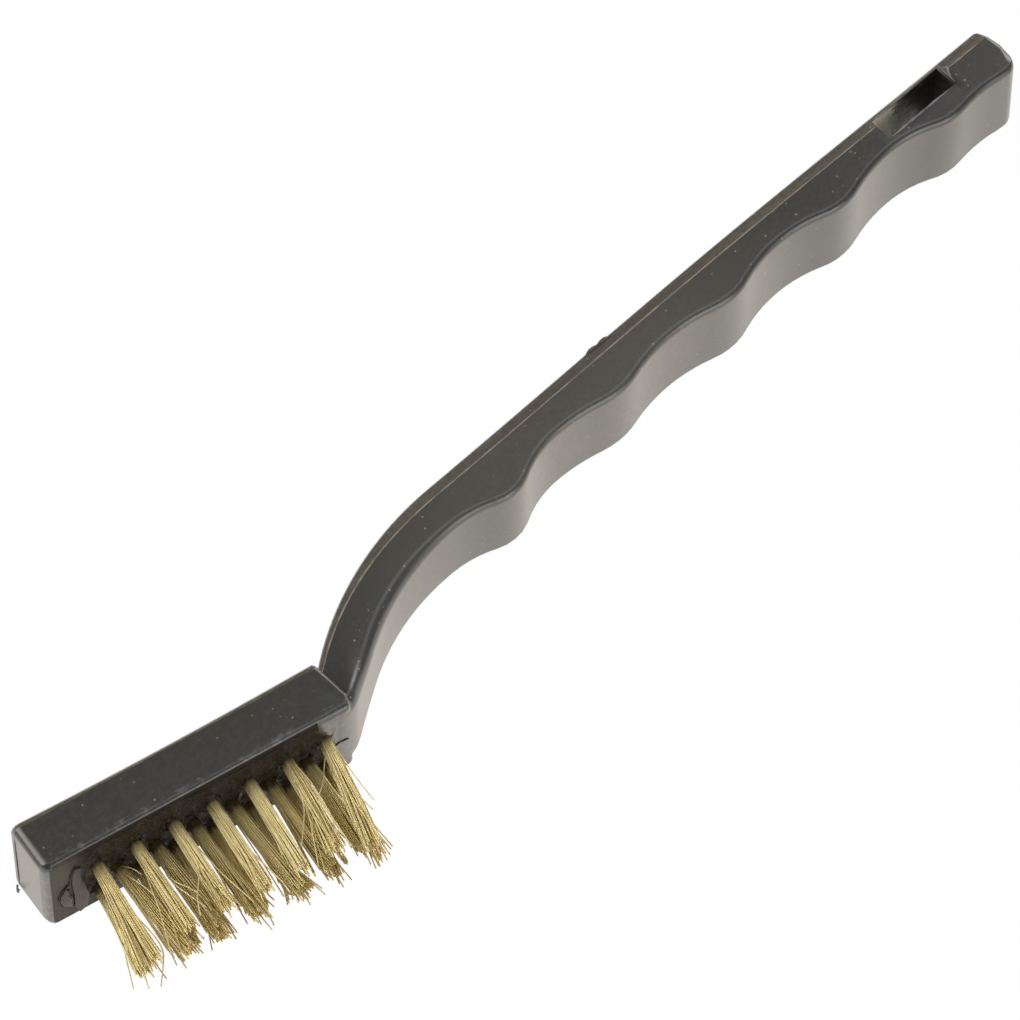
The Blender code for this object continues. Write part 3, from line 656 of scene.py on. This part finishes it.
def smooth_lines(lines):
    """Lines of points in millimetres as smooth strands in metres."""
    return [rounded([Vector(point) / 1000 for point in line]) for line in lines]


def on_bristle_plane(spots, rise=0.0):
    """Points on the plane of the bristle side, stood up by the rise."""
    return [HEAD_AXIS * (along / 1000 - HEAD_MIDDLE) - HEAD_UP * (HALF_THICKNESS + rise)
            + ACROSS * (height / 1000) for along, height in spots]


def flake_mesh():
    """Flakes as fans of triangles, each raised a little in its middle."""
    points, faces = [], []
    for outline in FLAKES:
        start, count = len(points), len(outline)
        rim = on_bristle_plane(outline, FLAKE_THICKNESS / 2)
        points.extend(rim)
        points.append(sum(rim, Vector()) / count - HEAD_UP * FLAKE_RISE)
        faces.extend((start + (step + 1) % count, start + step, start + count) for step in range(count))
    mesh = bpy.data.meshes.new("torn_flakes")
    mesh.from_pydata([tuple(point) for point in points], [], faces)
    return mesh


def thicken(piece, thickness, offset):
    """Give a sheet its thickness."""
    pick_only(piece)
    thick = piece.modifiers.new("thick", "SOLIDIFY")
    thick.thickness = thickness
    thick.offset = offset
    bpy.ops.object.modifier_apply(modifier=thick.name)


cracked = scuffed_plastic("cracked_plastic", CRACK_DARK, CRACK_BROWN)
crack = rounded(on_bristle_plane(CRACK_LINE))
swept_tube("tip_crack", [crack], [wavering(crack, CRACK_RADIUS, chance)], cracked)
sliver = [cast(point - HEAD_UP * FAR_AWAY, HEAD_UP, -SLIVER_RADIUS)
          for point in rounded(on_bristle_plane(SLIVER_LINE))]
swept_tube("heel_sliver", [sliver], [wavering(sliver, SLIVER_RADIUS, chance)], cracked)
spurs = smooth_lines(SPUR_LINES)
# The spur takes the flash's pale colours, partly a painted highlight.
swept_tube("tip_spur", spurs, [wavering(spur, SPUR_RADIUS, chance) for spur in spurs], scuffed)
flakes = new_piece("torn_flakes", flake_mesh())
flakes.data.materials.append(scuffed_plastic("torn_plastic", FLAKE_GREY, FLAKE_PALE))
thicken(flakes, FLAKE_THICKNESS * 2, 0.0)
bpy.ops.object.mode_set(mode="EDIT")
bpy.ops.mesh.select_all(action="SELECT")
bpy.ops.mesh.normals_make_consistent(inside=False)
bpy.ops.object.mode_set(mode="OBJECT")
bpy.ops.object.shade_smooth_by_angle(angle=FLAKE_EDGE_ANGLE)
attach(flakes, "root")

# Burrs round the tufts: driving the wires in pushed plastic up round every
# hole. It has broken into chips and ridges that hold the dirt of use.
FIRST_TUFT = 0.0080
TUFT_PITCH = 0.0058
# Each row: its height over the floor, its tufts and its start in pitches.
ROWS = ((0.0053, 7, 0.0), (0.0082, 6, 0.5), (0.0111, 7, 0.0))
BURR_CELL = 0.00018
BURR_ALONG = (-0.0172, 0.0206)
BURR_ACROSS = (0.0005, 0.0158)
BURR_RING = 0.00135
BURR_RING_WIDTH = 0.00042
BURR_BASE = 0.00005
BURR_RISE = 0.00014
CHIP_RISE = 0.00042
CHIP_SCALE = 1500.0
CHIP_TILT = 0.45
CHIP_TILT_SHARES = (0.35, 0.65)
CHIP_RISE_SEED = 3.7
CHIP_TURN_SEED = 5.1
CRUMB_RISE = 0.00005
CRUMB_SCALE = 4000.0
# The border wanders by these distances, at these scales.
BORDER_WAVES = ((0.0009, 420.0), (0.0004, 1700.0))
BORDER_FADE = 0.0007
BORDER_SINK = 0.00030
BORDER_CORNER = 0.0042
BURR_THICKNESS = 0.0004
BURR_EDGE_ANGLE = math.radians(22)
DIRT_BLACK = (0.0100, 0.0066, 0.0036, 1)
DIRT_BROWN = (0.0560, 0.0370, 0.0190, 1)
DIRT_PATTERN = (1100.0, 5.0, 0.65)
DIRT_STOPS = ((0.40, 0.0), (0.72, 1.0))
DIRT_ROUGH_STOPS = ((0.35, 0.30), (0.60, 0.70))
DIRT_STRENGTH = 0.8
DIRT_DEPTH = 0.00008


def tuft_places():
    """Number, place along the head from its middle, and height of every tuft."""
    places = []
    for height, count, start in ROWS:
        for place in range(count):
            forward = FIRST_TUFT + (place + start) * TUFT_PITCH - HEAD_MIDDLE
            places.append((len(places) + 1, forward, height))
    return places


def inside_border(along, across, spot):
    """How far a spot lies inside the round-cornered, wandering border of the burrs."""
    short = [max(0.0, BORDER_CORNER - min(place - limits[0], limits[1] - place))
             for place, limits in ((along, BURR_ALONG), (across, BURR_ACROSS))]
    wander = sum(reach * noise.noise(spot * scale) for reach, scale in BORDER_WAVES)
    return BORDER_CORNER - math.hypot(*short) + wander


def burr_height(along, across):
    """How far the broken plastic stands up from the bristle side."""
    spot = Vector((along, across, 0.0))
    near = min(math.hypot(along - forward, across - height) for _, forward, height in tuft_places())
    ring = math.exp(-((near - BURR_RING) / BURR_RING_WIDTH) ** 2)
    centre = noise.voronoi(spot * CHIP_SCALE)[1][0]
    chip = noise.cell(centre * CHIP_RISE_SEED) * 0.5 + 0.5
    turn = noise.cell_vector(centre * CHIP_TURN_SEED) * 2 - Vector((1, 1, 1))
    offset = (spot * CHIP_SCALE - centre) / CHIP_SCALE
    flat, ringed = CHIP_TILT_SHARES
    rise = BURR_BASE + ring * (BURR_RISE + CHIP_RISE * chip ** 2)
    rise += CHIP_TILT * (offset.x * turn.x + offset.y * turn.y) * (flat + ringed * ring)
    rise += CRUMB_RISE * noise.noise(spot * CRUMB_SCALE)
    share = min(max(inside_border(along, across, spot) / BORDER_FADE, 0.0), 1.0)
    return -BORDER_SINK + (rise + BORDER_SINK) * share


columns = int((BURR_ALONG[1] - BURR_ALONG[0]) / BURR_CELL)
rows = int((BURR_ACROSS[1] - BURR_ACROSS[0]) / BURR_CELL)
bpy.ops.object.select_all(action="DESELECT")
bpy.ops.mesh.primitive_grid_add(x_subdivisions=columns, y_subdivisions=rows, size=1.0)
burrs = bpy.context.object
burrs.name = "tuft_burrs"
for vertex in burrs.data.vertices:
    along = BURR_ALONG[0] + (vertex.co.x + 0.5) * (BURR_ALONG[1] - BURR_ALONG[0])
    across = BURR_ACROSS[0] + (vertex.co.y + 0.5) * (BURR_ACROSS[1] - BURR_ACROSS[0])
    rise = burr_height(along, across)
    vertex.co = HEAD_AXIS * along - HEAD_UP * (HALF_THICKNESS + rise) + ACROSS * across
thicken(burrs, BURR_THICKNESS, -1.0)
burrs.data.materials.append(patchy_finish("dirty_plastic", DIRT_PATTERN, DIRT_STOPS, DIRT_BLACK,
                                          DIRT_BROWN, DIRT_ROUGH_STOPS, DIRT_STRENGTH, DIRT_DEPTH))
bpy.ops.object.shade_smooth_by_angle(angle=BURR_EDGE_ANGLE)
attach(burrs, "root")

# Wire tufts: brass wires of a fifth of a millimetre, folded in half round a
# flat steel anchor and driven into a blind hole. Each tuft was trimmed after
# setting, and use has bent and spread its tips.
WIRE_RADIUS = 0.000098
WIRE_PITCH = 0.000205
WIRE_SIDES = 6
WIRE_EDGE_ANGLE = math.radians(75)
BUNDLE_RADIUS = 0.00092
# Where a folded wire bends: depths in the hole, and shares of the length outside it.
FOLD_DEPTH = 0.0047
LEG_DEPTHS = (-0.0040, -0.0020, 0.0)
LEG_SHARES = (0.30, 0.62, 1.0)
ANCHOR_HALF_GAP = 0.00024
FOLD_SQUEEZE = 0.3
LEAN_POWER = 1.25
# How the trimmed wires of a tuft differ from each other.
LENGTH_SPREAD = 0.0005
SHORT_SHARE = 0.16
SHORT_CUT = (0.0005, 0.0040)
STRAY_SHARE = 0.12
STRAY_SPREAD = (1.5, 3.0)
STRAY_LENGTH = 0.0020
TAME_SPREAD = 0.3
OWN_LEAN = 0.00042
OWN_BEND = 0.00010
TRIM_STEP = 0.0002
TONE_POWER = 1.6
TUFT_SEED = 101
CLUMP_SCALE = 1500.0
CLUMP_LEAN = 0.0013
CLUMP_SEEDS = (7.3, 9.1)
# These tufts have kept their wires together.
STEADY_ROW = (15, 16, 17, 18)
STEADY_LOOSENESS = 0.08
LOOSENESS = 0.55
BRASS_PALE = (0.89, 0.775, 0.43, 1)
BRASS_DEEP = (0.80, 0.655, 0.305, 1)
BRASS_OXIDE_AND_SHADE = (0.20, 0.13, 0.05, 1)
BRASS_GLOSS = {"Metallic": 0.65}
BRASS_PATCHES = (520.0, 3.0, 0.5)
BRASS_ROUGH_STOPS = ((0.3, 0.30), (0.7, 0.46))
TARNISH_STOPS = ((0.48, 0.0), (0.75, 0.5))
ROOT_STOPS = ((0.505, 0.90), (0.535, 0.0))
ROOT_SHADE_REACH = 0.035
DRAWING_MARKS = (2500.0, 1.0, 0.5)
DRAWING_STRENGTH = 0.12
DRAWING_DEPTH = 0.000004
# Each tuft: lean of its tips along the head and across it, and length of its
# wires, in metres, the share by which it opens, and how far along the head it
# has dragged the rim of its hole.
TUFTS = {
    1: (-0.0012, -0.0004, 0.0138, 0.45, 0.0), 2: (0.0006, -0.0002, 0.0138, 0.30, 0.0),
    3: (-0.0012, -0.0002, 0.0148, 0.30, 0.0), 4: (-0.0016, -0.0002, 0.0142, 0.35, 0.0),
    5: (-0.0012, -0.0002, 0.0148, 0.30, 0.0), 6: (-0.0013, -0.0002, 0.0148, 0.35, 0.0),
    7: (-0.0010, -0.0002, 0.0158, 0.40, 0.0), 8: (0.0010, 0.0, 0.0158, 0.50, 0.0),
    9: (0.0006, 0.0, 0.0155, 0.75, 0.0), 10: (0.0004, 0.0, 0.0162, 0.75, 0.0),
    11: (0.0011, 0.0, 0.0160, 0.75, 0.0), 12: (-0.0002, 0.0, 0.0148, 0.75, 0.0),
    13: (-0.0001, 0.0, 0.0145, 0.45, 0.0), 14: (-0.0011, -0.0008, 0.0160, 0.30, 0.0001),
    15: (-0.0001, 0.0, 0.0146, 0.22, 0.0), 16: (-0.0002, 0.0, 0.0142, 0.20, 0.0),
    17: (-0.0003, 0.0, 0.0147, 0.22, 0.0), 18: (-0.0005, 0.0, 0.0146, 0.20, 0.0),
    19: (-0.0009, -0.0002, 0.0148, 0.70, 0.0), 20: (-0.0024, -0.0008, 0.0164, 0.35, 0.0),
}


def drawn_brass():
    """Brass with a tone for each wire, tarnished in patches, and brown at its root, partly oxide and
    partly painted shade.
    """
    material, tree, shader = new_material("drawn_brass")
    tone = add_node(tree, "ShaderNodeAttribute", attribute_name="tone").outputs["Fac"]
    along = add_node(tree, "ShaderNodeAttribute", attribute_name="along").outputs["Fac"]
    place = object_place(tree)
    patches = cloudy(tree, place, BRASS_PATCHES)
    colour = blend(tree, tone, BRASS_PALE, BRASS_DEEP)
    colour = blend(tree, ramp(tree, patches, TARNISH_STOPS), colour, BRASS_DEEP)
    # Brown at the root: partly oxide, partly painted shade.
    colour = blend(tree, ramp(tree, along, ROOT_STOPS), colour, BRASS_OXIDE_AND_SHADE)
    marks = cloudy(tree, place, DRAWING_MARKS)
    dress(tree, shader, colour, ramp(tree, patches, BRASS_ROUGH_STOPS),
          relief(tree, marks, DRAWING_STRENGTH, DRAWING_DEPTH), BRASS_GLOSS)
    return material


def straight_wire():
    """One straight wire, cut into lengths between its two ends."""
    lengths = 2 * (len(LEG_DEPTHS) + len(LEG_SHARES))
    bpy.ops.object.select_all(action="DESELECT")
    bpy.ops.mesh.primitive_cylinder_add(vertices=WIRE_SIDES, radius=WIRE_RADIUS, depth=1.0,
                                        location=(0, 0, 0.5))
    wire = bpy.context.object
    bpy.ops.object.transform_apply(location=True, rotation=True, scale=True)
    bpy.ops.object.mode_set(mode="EDIT")
    for cut in range(1, lengths):
        bpy.ops.mesh.select_all(action="SELECT")
        bpy.ops.mesh.bisect(plane_co=(0, 0, cut / lengths), plane_no=(0, 0, 1))
    bpy.ops.object.mode_set(mode="OBJECT")
    return wire


def packed_spots():
    """Where one half of each folded wire stands in a hole: a hexagonal pack."""
    spots = []
    reach = int(BUNDLE_RADIUS / WIRE_PITCH) + 2
    for row in range(reach + 1):
        for column in range(-reach, reach + 1):
            along = (column + 0.5 * (row % 2)) * WIRE_PITCH
            across = (row + 0.5) * WIRE_PITCH * math.sqrt(3) / 2
            if math.hypot(along, across) <= BUNDLE_RADIUS:
                spots.append((along, across))
    return spots


def leg_path(base, spot, tuft, length, own_lean, bend):
    """Points of one leg of a folded wire, from just above the fold to its tip."""
    along, across = spot
    lean_along, lean_across, _, opening, drag = tuft
    side = math.copysign(1, across)
    points = []
    for depth in LEG_DEPTHS:
        share = -depth / FOLD_DEPTH
        apart = across * (1 - FOLD_SQUEEZE * share) + side * ANCHOR_HALF_GAP * share
        pulled = along + drag * (1 - min(1.0, 2 * share))
        points.append(base + HEAD_AXIS * pulled - HEAD_UP * depth + ACROSS * apart)
    for share in LEG_SHARES:
        reach = share ** LEAN_POWER
        opened = 1 + opening * share
        point = base - HEAD_UP * (length * share)
        point += HEAD_AXIS * (along * opened + drag + lean_along * reach + own_lean[0] * share ** 2)
        point += ACROSS * (across * opened + lean_across * reach + own_lean[1] * share ** 2)
        point += (HEAD_AXIS * bend[0] + ACROSS * bend[1]) * math.sin(math.pi * share)
        points.append(point)
    return points


def clump_lean(spot, number):
    """The lean that wires beside each other share, since they part in clumps."""
    looseness = STEADY_LOOSENESS if number in STEADY_ROW else LOOSENESS
    place_seed, turn_seed = CLUMP_SEEDS
    place = Vector((spot[0] * CLUMP_SCALE, spot[1] * CLUMP_SCALE, number * place_seed))
    turn = noise.cell_vector(noise.voronoi(place)[1][0] * turn_seed)
    return [looseness * CLUMP_LEAN * (2 * turn[axis] - 1) for axis in (0, 1)]


def trimmed_leg(base, spot, number, chance):
    """One leg of a wire of a tuft, with its own length, lean and bend."""
    tuft = TUFTS[number]
    length = tuft[2] + chance.gauss(0, LENGTH_SPREAD)
    if chance.random() < SHORT_SHARE:
        length -= chance.uniform(*SHORT_CUT)
    spread = TAME_SPREAD
    if chance.random() < STRAY_SHARE:
        spread = chance.uniform(*STRAY_SPREAD)
        length += chance.uniform(0.0, STRAY_LENGTH)
    own_lean = [chance.gauss(0, OWN_LEAN) * spread + shared for shared in clump_lean(spot, number)]
    bend = [chance.gauss(0, OWN_BEND) * spread for _ in range(2)]
    path = leg_path(base, spot, tuft, length, own_lean, bend)
    while path[-1].y < cad_box[0].y + WIRE_RADIUS or path[-1].x < cad_box[0].x + WIRE_RADIUS:
        length -= TRIM_STEP
        path = leg_path(base, spot, tuft, length, own_lean, bend)
    return path


def lay_wire(template, path):
    """The template's points moved onto a path, as a drawn wire bends."""
    rings = np.array([tuple(point) for point in path])
    steps = np.diff(rings, axis=0)
    steps /= np.linalg.norm(steps, axis=1)[:, None]
    tangents = np.vstack([steps[:1], steps[:-1] + steps[1:], steps[-1:]])
    tangents /= np.linalg.norm(tangents, axis=1)[:, None]
    first = np.tile(np.array(tuple(HEAD_AXIS)), (len(rings), 1))
    first -= (first * tangents).sum(1)[:, None] * tangents
    first /= np.linalg.norm(first, axis=1)[:, None]
    second = np.cross(tangents, first)
    ring = np.rint(template[:, 2] * (len(rings) - 1)).astype(int)
    return rings[ring] + template[:, :1] * first[ring] + template[:, 1:2] * second[ring]


def keep_levels(mesh, name, values):
    """Keep a level for every point of a mesh, so that the material can follow it."""
    mesh.attributes.new(name, "FLOAT", "POINT").data.foreach_set("value", values)


brass = drawn_brass()
wire = straight_wire()
wire_points = np.array([tuple(v.co) for v in wire.data.vertices])
wire_faces = [tuple(p.vertices) for p in wire.data.polygons]
for number, forward, height in tuft_places():
    chance = random.Random(number * TUFT_SEED)
    base = HEAD_AXIS * forward - HEAD_UP * HALF_THICKNESS + ACROSS * height
    # Painted shade: the brown root reaches further up the wires of the lower rows, which the top row
    # shades.
    shaded = 0.0 if height == ROWS[-1][0] else ROOT_SHADE_REACH
    points, faces, tones, alongs = [], [], [], []
    for along, across in packed_spots():
        far_spot = (along + 0.5 * WIRE_PITCH * chance.uniform(-1, 1), -across)
        near_leg = trimmed_leg(base, (along, across), number, chance)
        far_leg = trimmed_leg(base, far_spot, number, chance)
        fold = base + HEAD_AXIS * along + HEAD_UP * (FOLD_DEPTH + across * FOLD_SQUEEZE)
        laid = lay_wire(wire_points, near_leg[::-1] + [fold] + far_leg)
        start = len(points)
        points.extend(map(tuple, laid))
        faces.extend(tuple(start + index for index in face) for face in wire_faces)
        tones.extend([chance.random() ** TONE_POWER] * len(laid))
        alongs.extend(abs(wire_points[:, 2] * 2 - 1) - shaded)
    mesh = bpy.data.meshes.new(f"wire_bundle_{number:02d}")
    mesh.from_pydata(points, [], faces)
    keep_levels(mesh, "tone", tones)
    keep_levels(mesh, "along", alongs)
    bundle = new_piece(f"wire_bundle_{number:02d}", mesh)
    mesh.materials.append(brass)
    pick_only(bundle)
    bpy.ops.object.shade_smooth_by_angle(angle=WIRE_EDGE_ANGLE)
    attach(bundle, "root")
    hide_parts(f"wire_tuft_{number:02d}")
bpy.data.objects.remove(wire)

# Bent wires: single brass wires that use has pulled out of their tufts and
# bent over the others.
BENT_TONE = 0.1
# Points along each wire, in millimetres.
BENT_WIRES = (
    ((-12.82, -1.59, 8.20), (-13.56, -3.47, 9.80), (-13.39, -6.04, 10.60), (-13.11, -8.33, 10.80),
     (-13.38, -10.88, 10.80), (-14.30, -15.33, 10.60)),
    ((-13.08, -1.89, 8.40), (-12.66, -3.06, 9.60), (-12.19, -4.38, 10.00), (-12.03, -5.69, 10.00)),
    ((-7.60, -3.49, 8.40), (-9.55, -7.29, 10.60), (-10.26, -9.94, 11.60), (-9.33, -12.65, 12.00),
     (-9.31, -14.03, 12.00)),
    ((-7.47, -3.55, 8.60), (-10.03, -8.20, 10.80), (-10.50, -10.70, 11.80), (-10.25, -13.32, 12.00),
     (-9.86, -15.93, 12.00)),
    ((-4.02, -3.83, 11.20), (-5.65, -7.96, 12.00), (-6.69, -11.25, 12.20), (-8.52, -12.90, 12.20),
     (-9.92, -14.25, 12.20), (-11.20, -16.27, 12.00)),
    ((12.65, -7.31, 11.20), (10.99, -11.05, 12.00), (9.45, -14.04, 12.20), (7.33, -16.11, 12.20),
     (5.19, -18.00, 12.00)),
    ((17.62, -9.04, 8.20), (13.84, -12.76, 10.60), (11.40, -14.24, 11.60), (8.63, -16.25, 11.80),
     (7.10, -18.06, 11.80)),
    ((-15.30, -0.81, 11.00), (-17.00, -8.08, 11.20), (-16.99, -12.88, 10.80),
     (-17.43, -15.82, 10.40), (-19.04, -17.56, 10.20), (-21.28, -19.50, 10.00)),
    ((-15.18, -0.84, 10.60), (-17.97, -6.58, 10.40), (-20.85, -13.66, 10.00),
     (-21.33, -16.09, 9.80), (-22.47, -18.47, 9.60)),
    ((19.06, -9.04, 10.80), (17.85, -13.58, 11.60), (17.18, -16.87, 11.80), (16.83, -19.46, 11.80)),
    ((18.89, -8.93, 10.60), (16.89, -14.14, 11.00), (15.98, -17.16, 11.20), (15.99, -20.17, 11.20)),
)
bent = smooth_lines(BENT_WIRES)
loose = swept_tube("bent_wires", bent, [[WIRE_RADIUS] * len(line) for line in bent], brass)
keep_levels(loose.data, "along", [1.0] * len(loose.data.vertices))
keep_levels(loose.data, "tone", [BENT_TONE] * len(loose.data.vertices))

# Tuft anchors: short flat pieces clipped from steel wire. Each one bites into
# the walls of its hole across the fold of the tuft and can't be seen.
STEEL_BRIGHT = (0.42, 0.41, 0.40, 1)
STEEL_DULL = (0.22, 0.21, 0.20, 1)
ROLLING_STRETCH = (600.0, 9000.0, 9000.0)
ROLLING_MARKS = (1.0, 3.0, 0.5)
STEEL_ROUGH_STOPS = ((0.3, 0.28), (0.7, 0.48))
ROLLING_STRENGTH = 0.5
ROLLING_DEPTH = 0.00001
STEEL_GLOSS = {"Metallic": 1.0}


def clipped_steel():
    material, tree, shader = new_material("clipped_steel")
    marks = cloudy(tree, stretched(tree, object_place(tree), ROLLING_STRETCH), ROLLING_MARKS)
    dress(tree, shader, blend(tree, marks, STEEL_BRIGHT, STEEL_DULL),
          ramp(tree, marks, STEEL_ROUGH_STOPS),
          relief(tree, marks, ROLLING_STRENGTH, ROLLING_DEPTH), STEEL_GLOSS)
    return material


steel = clipped_steel()
for number, _, _ in tuft_places():
    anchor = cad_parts[f"tuft_anchor_{number:02d}"]
    anchor.data.materials.clear()
    anchor.data.materials.append(steel)

# The studio: a pale floor that runs to white, soft lamps to the left, to the
# right, in front and above, and a camera that looks down on the brush.
FLOOR_SIZE = 6.0
FLOOR_GAP = 0.00002
FLOOR_MIDDLE_X = 0.06
FLOOR_PAINT = {"Base Color": grey(0.9), "Roughness": 0.9, "Specular IOR Level": 0.1}
OPEN_FLOOR_SHARE = 0.992
FLOOR_WARM = (1.0, 0.950, 0.885, 1)
FRONT_WALL = (0.26, 0.26, 0.26, 1)
BACK_WALL = (0.205, 0.197, 0.176, 1)
WALL_SPAN = (-0.80, -0.20)
# Each lamp: name, direction from the brush, distance and size in metres, power
# in watts and colour. All face the brush.
LAMPS = (("overhead_lamp", (0.32, -0.06, 0.94), 1.30, 0.70, 1.1, (0.80, 0.91, 1.0)),
         ("left_lamp", (-0.62, 0.55, 0.56), 1.25, 0.80, 4.2, (1.0, 0.98, 0.94)),
         ("right_lamp", (0.86, 0.24, 0.45), 1.25, 0.80, 5.1, (1.0, 0.98, 0.94)),
         ("high_lamp", (-0.34, 0.40, 0.85), 1.25, 0.60, 1.4, (1.0, 0.97, 0.90)),
         ("front_lamp", (0.10, -0.94, 0.325), 1.25, 0.80, 3.2, (1.0, 0.96, 0.90)))
BRUSH_MIDDLE = Vector((0.06, 0.0, 0.01))
CAMERA_PLACE = (-0.324806, -0.406310, 0.988580)
CAMERA_TURN = (29.80163, 0.20669, -43.82426)
CAMERA_LENS = 296.853
CAMERA_SIGHT = 20.0
SENSOR_WIDTH = 36.0


def studio_floor():
    """Floor that is white in reflections, and to the camera but for a trace of shadow."""
    material, tree, shader = new_material("studio_floor")
    for name, value in FLOOR_PAINT.items():
        shader.inputs[name].default_value = value
    rays = add_node(tree, "ShaderNodeLightPath").outputs
    seen = reckon(tree, "MAXIMUM", rays["Is Camera Ray"], rays["Is Glossy Ray"])
    seen = reckon(tree, "MAXIMUM", seen, rays["Is Transmission Ray"])
    share = reckon(tree, "MULTIPLY", seen, OPEN_FLOOR_SHARE)
    share = reckon(tree, "MAXIMUM", share, rays["Is Glossy Ray"])
    lit = blend(tree, rays["Is Camera Ray"], FLOOR_WARM, grey(1.0))
    white = add_node(tree, "ShaderNodeEmission", {"Color": lit, "Strength": 1.0})
    mixed = add_node(tree, "ShaderNodeMixShader", {0: share, 1: shader.outputs["BSDF"],
                                                   2: white.outputs["Emission"]})
    tree.links.new(mixed.outputs["Shader"], tree.nodes["Material Output"].inputs["Surface"])
    return material


def studio_world():
    """White to the camera, and to everything else dim walls, the front one lighter."""
    world = bpy.data.worlds.new("studio_world")
    world.use_nodes = True
    tree = world.node_tree
    rays = add_node(tree, "ShaderNodeLightPath").outputs
    shown = reckon(tree, "MAXIMUM", rays["Is Camera Ray"], rays["Is Transmission Ray"])
    direction = add_node(tree, "ShaderNodeTexCoord").outputs["Generated"]
    backward = add_node(tree, "ShaderNodeSeparateXYZ", {"Vector": direction}).outputs["Y"]
    walls = blend(tree, crossing(tree, backward, WALL_SPAN), FRONT_WALL, BACK_WALL)
    tree.links.new(blend(tree, shown, walls, grey(1.0)), tree.nodes["Background"].inputs["Color"])
    return world


bpy.ops.object.select_all(action="DESELECT")
bpy.ops.mesh.primitive_plane_add(size=FLOOR_SIZE, location=(FLOOR_MIDDLE_X, 0.0, -FLOOR_GAP))
floor = bpy.context.object
floor.name = "floor"
floor.data.materials.append(studio_floor())
bpy.context.scene.world = studio_world()

for name, direction, distance, size, power, colour in LAMPS:
    lamp_data = bpy.data.lights.new(name, "AREA")
    lamp_data.shape = "DISK"
    lamp_data.size = size
    lamp_data.energy = power
    lamp_data.color = colour
    lamp = new_piece(name, lamp_data)
    lamp.location = BRUSH_MIDDLE + Vector(direction).normalized() * distance
    lamp.rotation_euler = Vector(direction).to_track_quat("Z", "Y").to_euler()

camera_data = bpy.data.cameras.new("camera")
camera_data.sensor_width = SENSOR_WIDTH
camera_data.lens = CAMERA_LENS
camera_data.clip_end = CAMERA_SIGHT
camera = new_piece("camera", camera_data)
camera.location = CAMERA_PLACE
camera.rotation_euler = [math.radians(turn) for turn in CAMERA_TURN]
bpy.context.scene.camera = camera
bpy.context.scene.view_settings.view_transform = "Standard"

bpy.context.view_layer.update()
